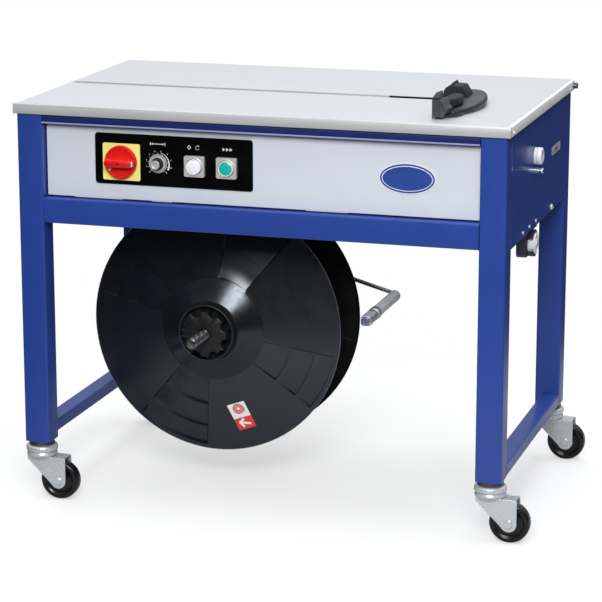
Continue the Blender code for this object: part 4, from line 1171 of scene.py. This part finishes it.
def ribbons(points, width, aspect):
    """Quads along a path in label units, where v is stretched by aspect."""
    quads = []
    for (u0, v0), (u1, v1) in zip(points, points[1:]):
        along = Vector((u1 - u0, (v1 - v0) * aspect)).normalized()
        side = Vector((-along.y, along.x)) * width / 2
        back = along * width * 0.25
        corners = []
        for (u, v), s, e in (((u0, v0), 1, -1), ((u1, v1), 1, 1), ((u1, v1), -1, 1),
                             ((u0, v0), -1, -1)):
            corners.append((u + s * side.x + e * back.x, v + (s * side.y + e * back.y) / aspect))
        quads.append(corners)
    return quads


# ---- brake arm --------------------------------------------------------------------------------
def make_brake_arm():
    """A bent chrome rod with its hub, and the collar, end block and bolt before the sleeve."""
    sleeve_low, sleeve_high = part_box("arm_sleeve")
    axle = (sleeve_low + sleeve_high) / 2
    arm_low, arm_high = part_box("brake_arm")
    hub = Vector((arm_low.x + 0.0125, arm_high.y - 0.008, arm_high.z - 0.0125))
    corner = Vector((axle.x, hub.y, axle.z))
    bm = bmesh.new()
    sweep(bm, [hub, corner, Vector((axle.x, sleeve_low.y - 0.004, axle.z))], 0.0040, 0.0070)
    add_turned(bm, [(-0.0080, 0.0066), (-0.0080, 0.0117), (-0.0074, 0.0124), (0.0074, 0.0124),
                    (0.0080, 0.0117), (0.0080, 0.0066)], "y", hub, 48)
    piece("arm_rod", bm, CHROME, "brake_arm", "chrome", hides=["brake_arm"], sharp=50)
    place = (axle.x, 0.0, axle.z)
    front = sleeve_low.y
    turned("arm_collar", [(front - 0.0003, 0.0), (front - 0.0003, 0.0108),
           (front - 0.0010, 0.0118), (front - 0.0140, 0.0118), (front - 0.0150, 0.0110),
           (front - 0.0160, 0.0090), (front - 0.0300, 0.0090), (front - 0.0306, 0.0084),
           (front - 0.0306, 0.0)], "y", place, CAST, "brake_arm", "aluminium", sharp=50,
           segments=40)
    bm = bmesh.new()
    block_front, block_rear = arm_low.y + 0.0060, front - 0.0290
    block = rounded(axle.x, axle.z, 0.0186, 0.0186, 0.0045, 6)
    add_prism(bm, block, "y", block_front, block_rear)
    piece("arm_end_block", bm, ZINC, "brake_arm", "zinc", bevel=0.0006)
    bm = bmesh.new()
    tip = arm_low.y
    add_turned(bm, [(block_front, 0.0), (block_front, 0.0080), (tip + 0.0014, 0.0080),
                    (tip + 0.0004, 0.0076), (tip, 0.0066), (tip, 0.0048), (tip + 0.0020, 0.0044),
                    (tip + 0.0020, 0.0)], "y", place, 6 * 8)
    piece("arm_bolt", bm, BOLT, "brake_arm", "zinc")
    bm = bmesh.new()
    bore, skin = 0.0046, 0.0105
    add_turned(bm, [(sleeve_low.y, bore), (sleeve_low.y, skin - 0.0010),
                    (sleeve_low.y + 0.0010, skin), (sleeve_high.y - 0.0010, skin),
                    (sleeve_high.y, skin - 0.0010), (sleeve_high.y, bore)], "y", place, 48)
    piece("sleeve", bm, SLEEVE, "arm_sleeve", "silver_panel", hides=["arm_sleeve"])


def sweep(bm, corners, radius, bend, sides=20, steps=8):
    """A round bar through corners, with each inner corner rounded by a bend radius."""
    path = [corners[0]]
    for before, corner, after in zip(corners, corners[1:], corners[2:]):
        into, out = (before - corner).normalized(), (after - corner).normalized()
        for k in range(steps + 1):
            t = k / steps
            path.append(corner + into * bend * (1 - t) ** 2 + out * bend * t ** 2)
    path.append(corners[-1])
    rings = []
    side = None
    for k, spot in enumerate(path):
        ahead = path[min(k + 1, len(path) - 1)] - path[max(k - 1, 0)]
        ahead.normalize()
        if side is None:
            side = ahead.orthogonal().normalized()
        side = (side - ahead * side.dot(ahead)).normalized()
        up = ahead.cross(side)
        rings.append([bm.verts.new(spot + (side * math.cos(t) + up * math.sin(t)) * radius)
                      for t in (2 * math.pi * i / sides for i in range(sides))])
    add_capped(bm, rings)


# ---- right side -------------------------------------------------------------------------------
def make_tension_controls():
    low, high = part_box("tension_dial")
    centre = (low + high) / 2
    place = (0.0, centre.y, centre.z)
    base, tip = low.x, high.x
    turned("tension_knob", [(base, 0.0), (base, 0.0145), (base + 0.0004, 0.0154),
           (base + 0.0020, 0.0155), (base + 0.0026, 0.0150), (base + 0.0030, 0.0138),
           (base + 0.0040, 0.0138), (base + 0.0044, 0.0150), (base + 0.0052, 0.0155),
           (tip - 0.0022, 0.0152), (tip - 0.0010, 0.0146), (tip - 0.0003, 0.0134), (tip, 0.0120),
           (tip - 0.0004, 0.0110), (tip - 0.0004, 0.0)], "x", place, WHITE, "tension_dial",
           "white_plastic", hides=["tension_dial"], sharp=45, segments=64)
    prism("tension_pointer", [(centre.y + u, centre.z + v) for u,
          v in ((-0.0007, 0.0030), (0.0007, 0.0030), (0.0007, 0.0100), (-0.0007, 0.0100))], "x",
          tip - 0.0006, tip - 0.0001, BLACK, "tension_dial", "black_plastic")
    low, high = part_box("tension_lock")
    centre = (low + high) / 2
    bm = bmesh.new()
    place = (0.0, centre.y, centre.z)
    add_turned(bm, [(low.x, 0.0), (low.x, 0.0050), (low.x + 0.0035, 0.0050),
                    (low.x + 0.0045, 0.0036), (high.x - 0.0055, 0.0034), (high.x - 0.0050, 0.0046),
                    (high.x - 0.0006, 0.0046), (high.x, 0.0040), (high.x, 0.0)], "x", place, 32)
    reach = (high.y - low.y) / 2
    add_rod(bm, "y", (high.x - 0.0030, centre.y, centre.z), -reach, reach, 0.0028)
    piece("lock_lever", bm, CHROME, "tension_lock", "zinc", hides=["tension_lock"], sharp=50)


def make_rear_details():
    """Pressed cooling louvres and the cover screws on the rear panel."""
    low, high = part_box("rear_panel")
    face, middle_x, middle_z = high.y, (low.x + high.x) / 2, (low.z + high.z) / 2
    bm = bmesh.new()
    for column in (-1, 1):
        for row in range(5):
            z = middle_z - 0.032 + 0.016 * row
            x = middle_x + column * 0.22
            section = [(face - 0.0004, z - 0.0045), (face + 0.0028, z - 0.0042),
                       (face + 0.0030, z - 0.0030), (face + 0.0022, z),
                       (face + 0.0010, z + 0.0030), (face - 0.0004, z + 0.0045)]
            add_prism(bm, section, "x", x - 0.042, x + 0.042)
    piece("rear_louvres", bm, BLUE, "frame", "blue_paint", bevel=0.0004)
    for i, (u, v) in enumerate(((-1, -1), (0, -1), (1, -1), (-1, 1), (0, 1), (1, 1))):
        spot = (middle_x + u * ((high.x - low.x) / 2 - 0.022), face,
                middle_z - 0.010 + v * ((high.z - low.z) / 2 - 0.024))
        screw(f"rear_screw_{i}", spot, "y", 1, 0.0042, "frame")


def make_side_details():
    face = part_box("side_panel_right")[1].x
    low, high = at(0, 0.104, 0.6200), at(0, 0.180, 0.6350)
    prism("rating_plate",
          rounded((low.y + high.y) / 2, (low.z + high.z) / 2, high.y - low.y,
                  high.z - low.z, 0.0015),
          "x", face, face + 0.0008, ALUMINIUM, "frame", "aluminium", bevel=0.0002)
    bm = bmesh.new()
    middle_y, middle_z = (low.y + high.y) / 2, (low.z + high.z) / 2
    for step in (-0.010, 0.0, 0.010):
        add_box(bm, (face + 0.0008, middle_y + step - 0.0030, middle_z - 0.0025),
                (face + 0.0010, middle_y + step + 0.0030, middle_z + 0.0025))
    piece("rating_plate_marks", bm, ENAMEL, "frame", "grey_plastic")
    for side, sign in (("right", 1), ("left", -1)):
        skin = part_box(f"side_panel_{side}")[1 if sign > 0 else 0].x
        screw(f"side_screw_{side}", Vector((skin, at(0, 0.110, 0).y, 0.524)), "x", sign, 0.0055,
              "frame")
        bm = bmesh.new()
        spot = Vector((skin, at(0, 0.215, 0).y, 0.5290))
        add_turned(bm, [(0.0, 0.0), (0.0, 0.0042), (sign * 0.0004, 0.0042), (sign * 0.0004, 0.0036),
                        (sign * 0.0001, 0.0034), (sign * 0.0001, 0.0)], "x", spot, 24)
        piece(f"side_plug_{side}", bm, BLACK, "frame", "black_plastic")
    for i, y in enumerate((-0.140, -0.085, -0.030)):
        screw(f"inlet_screw_{i}", Vector((face, at(0, y, 0).y, 0.526)), "x", 1, 0.0034, "frame")


def make_strap_inlet():
    """The housing that carries the strap inlet roller, with its guard lever and lower hook."""
    low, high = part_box("inlet_bracket")
    roller_low, roller_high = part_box("inlet_roller")
    roller = (roller_low + roller_high) / 2
    wall = roller_low.x - 0.0008
    bm = bmesh.new()
    outline = [(roller.y - 0.0250, high.z - 0.008), (roller.y - 0.0250, low.z + 0.006),
               (roller.y - 0.0190, low.z), (roller.y + 0.0190, low.z),
               (roller.y + 0.0250, low.z + 0.006), (roller.y + 0.0250, high.z - 0.008)]
    add_prism(bm, outline, "x", low.x, wall)
    add_box(bm, (wall - 0.0035, roller.y - 0.060, high.z - 0.0085),
            (wall + 0.0020, roller.y + 0.060, high.z))
    piece("inlet_housing", bm, CAST_DARK, "frame", "black_plastic", hides=["inlet_bracket"],
          bevel=0.0012)
    bm = bmesh.new()
    lever = arc(roller.y, roller.z, 0.0250, 35, 150, 14)
    lever += arc(roller.y, roller.z, 0.0215, 150, 35, 14)
    add_prism(bm, lever, "x", wall, roller_high.x - 0.0030)
    hook = arc(roller.y, roller.z, 0.0235, 215, 305, 10)
    hook += arc(roller.y, roller.z, 0.0205, 305, 215, 10)
    add_prism(bm, hook, "x", wall, roller_high.x - 0.0020)
    piece("inlet_guard", bm, BLACK, "frame", "black_plastic", bevel=0.0004)
    bm = bmesh.new()
    add_rod(bm, "x", (0.0, roller.y, roller.z), wall - 0.001, high.x - 0.0006, 0.0038)
    add_prism(bm, arc(roller.y, roller.z, 0.0060, 0, 300, 5), "x", high.x - 0.0028, high.x)
    piece("inlet_axle", bm, ZINC, "frame", "zinc", bevel=0.0004)
    bm = bmesh.new()
    half, edge = (roller_high.x - roller_low.x) / 2, (roller_high.z - roller_low.z) / 2
    side = [(half, 0.0046), (half, 0.0085), (half - 0.0012, 0.0095), (half - 0.0012, 0.0150),
            (half, 0.0162), (half, edge - 0.0006), (half - 0.0006, edge), (half - 0.0022, edge),
            (half - 0.0045, edge - 0.0030)]
    add_turned(bm, [(-u, r) for u, r in side] + side[::-1], "x", roller, 64)
    piece("inlet_disc", bm, WHITE, "inlet_roller", "white_plastic", hides=["inlet_roller"])


# ---- strapping drive --------------------------------------------------------------------------
def add_toothed(bm, centre, y0, y1, outer, inner, teeth, steps=6):
    """A bar along Y with lengthwise ribs."""
    outline = []
    for i in range(teeth * steps):
        turn = 2 * math.pi * i / (teeth * steps)
        radius = outer if i % steps < steps / 2 else inner
        outline.append((centre[0] + radius * math.cos(turn), centre[2] + radius * math.sin(turn)))
    add_prism(bm, outline, "y", y0, y1)


def make_motor():
    """A ribbed motor body between a front flange and a rear fan cover."""
    low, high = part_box("drive_motor")
    place = ((low.x + high.x) / 2, 0.0, (low.z + high.z) / 2)
    bm = bmesh.new()
    add_turned(bm, [(low.y, 0.0), (low.y, 0.0445), (low.y + 0.0015, 0.0460),
                    (low.y + 0.011, 0.0460), (low.y + 0.013, 0.0440), (low.y + 0.013, 0.0)],
               "y", place, 64)
    add_turned(bm, [(high.y - 0.024, 0.0), (high.y - 0.024, 0.0450), (high.y - 0.022, 0.0458),
                    (high.y - 0.006, 0.0450), (high.y - 0.001, 0.0400), (high.y, 0.0340),
                    (high.y, 0.0300), (high.y - 0.002, 0.0290), (high.y - 0.002, 0.0)], "y", place,
               64)
    piece("motor_ends", bm, ENAMEL, "frame", "dark_enamel", hides=["drive_motor"], sharp=40)
    bm = bmesh.new()
    add_toothed(bm, place, low.y + 0.012, high.y - 0.023, 0.0440, 0.0395, 30)
    piece("motor_fins", bm, ENAMEL, "frame", "dark_enamel", bevel=0.0003)


def make_pulley(name, radius):
    """A flanged pulley with a hollowed face, a hub and its shaft."""
    low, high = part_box(name)
    place = ((low.x + high.x) / 2, 0.0, (low.z + high.z) / 2)
    front, rear = low.y, low.y + 0.022
    turned(f"{name}_wheel", [(front, 0.0), (front, 0.0065), (front + 0.0008, 0.0072),
           (front + 0.0040, 0.0095), (front + 0.0040, radius - 0.0050),
           (front + 0.0006, radius - 0.0035), (front, radius + 0.0012),
           (front + 0.0004, radius + 0.0020), (front + 0.0012, radius + 0.0020),
           (front + 0.0017, radius), (rear - 0.0017, radius), (rear - 0.0012, radius + 0.0020),
           (rear - 0.0003, radius + 0.0020), (rear, radius), (rear, 0.0125),
           (rear + 0.010, 0.0120), (rear + 0.011, 0.0070), (high.y, 0.0070), (high.y, 0.0)], "y",
           place, ALUMINIUM, name, "aluminium", hides=[name], sharp=40, segments=64)
    bm = bmesh.new()
    for turn in range(5):
        u, v = arc(place[0], place[2], (radius + 0.0060) / 2 + 0.0012, turn * 72, turn * 72, 1)[0]
        add_turned(bm, [(front + 0.0041, 0.0), (front + 0.0041, radius * 0.15),
                        (front + 0.0036, radius * 0.15), (front + 0.0036, 0.0)], "y",
                   (u, 0.0, v), 24)
    piece(f"{name}_holes", bm, STEEL_DARK, name, "aluminium")


def make_drive():
    keep("mechanism_frame", PLATE_STEEL, 0.0005, 2)
    keep("control_box", ENAMEL, 0.0015, 3)
    keep("gearbox", CAST)
    keep("reel_shaft", ZINC)
    keep("drive_belt", RUBBER, 0.0003, 2)
    make_motor()
    make_pulley("motor_pulley", 0.020)
    make_pulley("gearbox_pulley", 0.032)
    low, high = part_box("feed_roller")
    place = ((low.x + high.x) / 2, 0.0, (low.z + high.z) / 2)
    bm = bmesh.new()
    add_turned(bm, [(low.y, 0.0), (low.y, 0.0105), (low.y + 0.001, 0.0120), (low.y + 0.001, 0.0182),
                    (low.y + 0.0245, 0.0182), (low.y + 0.0245, 0.0070), (high.y, 0.0070),
                    (high.y, 0.0)], "y", place, 64)
    add_toothed(bm, place, low.y + 0.0015, low.y + 0.0240, 0.0200, 0.0188, 40, 4)
    piece("feed_roller_tyre", bm, RUBBER, "feed_roller", "rubber", hides=["feed_roller"])
    low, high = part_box("gearbox")
    bm = bmesh.new()
    add_box(bm, (low.x + 0.010, low.y + 0.012, high.z - 0.0005),
            (high.x - 0.010, high.y - 0.010, high.z + 0.0022))
    piece("gearbox_cover", bm, CAST, "frame", "aluminium", bevel=0.0012)
    for i, (u, v) in enumerate(((0, 0), (0, 1), (1, 0), (1, 1))):
        screw(f"gearbox_screw_{i}", (low.x + 0.018 + u * (high.x - low.x - 0.036),
                                     low.y + 0.020 + v * (high.y - low.y - 0.038),
                                     high.z + 0.0022), "z", 1, 0.0034, "frame")


# ---- stage ------------------------------------------------------------------------------------
def make_camera():
    camera = bpy.data.cameras.new("camera")
    camera.lens = CAMERA_LENS
    camera.sensor_width = 36.0
    rig = bpy.data.objects.new("camera", camera)
    rig.location = CAMERA_PLACE
    rig.rotation_euler = [math.radians(a) for a in CAMERA_TURN]
    bpy.context.scene.collection.objects.link(rig)
    bpy.context.scene.camera = rig


def fade_out(mat, centre, near, far, amount):
    """Thins the floor so it melts into the pale surroundings away from its centre."""
    tree = mat.node_tree
    place = tree.nodes.new("ShaderNodeTexCoord")
    shift = tree.nodes.new("ShaderNodeVectorMath")
    shift.operation = "DISTANCE"
    shift.inputs[1].default_value = centre
    tree.links.new(place.outputs["Object"], shift.inputs[0])
    fade = tree.nodes.new("ShaderNodeMapRange")
    fade.interpolation_type = "SMOOTHSTEP"
    fade.inputs["From Min"].default_value = near
    fade.inputs["From Max"].default_value = far
    fade.inputs["To Min"].default_value = amount
    fade.inputs["To Max"].default_value = 0.0
    tree.links.new(shift.outputs["Value"], fade.inputs["Value"])
    clear = tree.nodes.new("ShaderNodeBsdfTransparent")
    mix = tree.nodes.new("ShaderNodeMixShader")
    tree.links.new(fade.outputs["Result"], mix.inputs["Fac"])
    tree.links.new(clear.outputs["BSDF"], mix.inputs[1])
    tree.links.new(tree.nodes["Principled BSDF"].outputs["BSDF"], mix.inputs[2])
    tree.links.new(mix.outputs["Shader"], tree.nodes["Material Output"].inputs["Surface"])


def make_stage():
    bm = bmesh.new()
    bmesh.ops.create_circle(bm, cap_ends=True, segments=96, radius=FLOOR_RADIUS)
    mesh = bpy.data.meshes.new("floor")
    bm.to_mesh(mesh)
    bm.free()
    fade_out(FLOOR, FADE_CENTRE, FADE_NEAR, FADE_FAR, FLOOR_COVER)
    mesh.materials.append(FLOOR)
    floor = bpy.data.objects.new("floor", mesh)
    floor.location.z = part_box("caster_wheel_front_left")[0].z - 0.0002
    bpy.context.scene.collection.objects.link(floor)


def area_light(name, place, target, width, height, power):
    lamp = bpy.data.lights.new(name, "AREA")
    lamp.shape = "RECTANGLE"
    lamp.size = width
    lamp.size_y = height
    lamp.energy = power
    rig = bpy.data.objects.new(name, lamp)
    rig.location = place
    rig.rotation_euler = (Vector(target) - Vector(place)).to_track_quat("-Z", "Y").to_euler()
    rig.visible_camera = False
    bpy.context.scene.collection.objects.link(rig)
    return rig


def make_world():
    """Pale to the camera; to the object, bright above and behind and dim low in front."""
    world = bpy.data.worlds.new("studio")
    bpy.context.scene.world = world
    world.use_nodes = True
    tree = world.node_tree
    tree.nodes.clear()
    place = tree.nodes.new("ShaderNodeTexCoord")
    lean = tree.nodes.new("ShaderNodeVectorMath")
    lean.operation = "DOT_PRODUCT"
    lean.inputs[1].default_value = WORLD_LEAN
    tree.links.new(place.outputs["Generated"], lean.inputs[0])
    height = tree.nodes.new("ShaderNodeMapRange")
    height.interpolation_type = "SMOOTHSTEP"
    height.inputs["From Min"].default_value = 0.0
    height.inputs["From Max"].default_value = 0.80
    height.inputs["To Min"].default_value = WORLD_LOW
    height.inputs["To Max"].default_value = WORLD_HIGH
    tree.links.new(lean.outputs["Value"], height.inputs["Value"])
    glow = tree.nodes.new("ShaderNodeBackground")
    tree.links.new(height.outputs["Result"], glow.inputs["Strength"])
    glow.inputs["Color"].default_value = (0.96, 0.98, 1.0, 1.0)
    pale = tree.nodes.new("ShaderNodeBackground")
    pale.inputs["Color"].default_value = (1.0, 1.0, 1.0, 1.0)
    pale.inputs["Strength"].default_value = 1.0
    seen = tree.nodes.new("ShaderNodeLightPath")
    mix = tree.nodes.new("ShaderNodeMixShader")
    tree.links.new(seen.outputs["Is Camera Ray"], mix.inputs["Fac"])
    tree.links.new(glow.outputs["Background"], mix.inputs[1])
    tree.links.new(pale.outputs["Background"], mix.inputs[2])
    out = tree.nodes.new("ShaderNodeOutputWorld")
    tree.links.new(mix.outputs["Shader"], out.inputs["Surface"])


# ---- assembly ---------------------------------------------------------------------------------
bpy.context.scene.view_settings.view_transform = "Standard"
make_camera()
make_frame()
make_front_panel()
make_control_plate()
make_panel_symbols()
make_dial_scale()
make_main_switch()
make_length_dial()
make_button("reset", WHITE, ALUMINIUM, "white_plastic")
make_button("feed", TEAL, ALUMINIUM, "teal_plastic")
make_badge()
make_table()
make_strap_guide()
for corner_tag in CORNERS:
    make_caster(corner_tag)
make_flanges()
make_reel_core()
make_nut()
make_reel_sticker()
make_brake_arm()
make_tension_controls()
make_side_details()
make_rear_details()
make_strap_inlet()
make_drive()
make_stage()
make_world()
overhead = area_light("softbox_above", at(0.0, 0.2, 3.2), at(0, 0, 0.4), 3.2, 2.6, 70)
overhead.visible_glossy = False
area_light("softbox_front", at(1.0, -3.4, 2.6), at(0, 0, 0.4), 1.8, 1.2, 100)
area_light("hub_card", at(0.45, -2.75, 1.66), at(-0.14, 0, 0.30), 0.95, 0.42, 17)
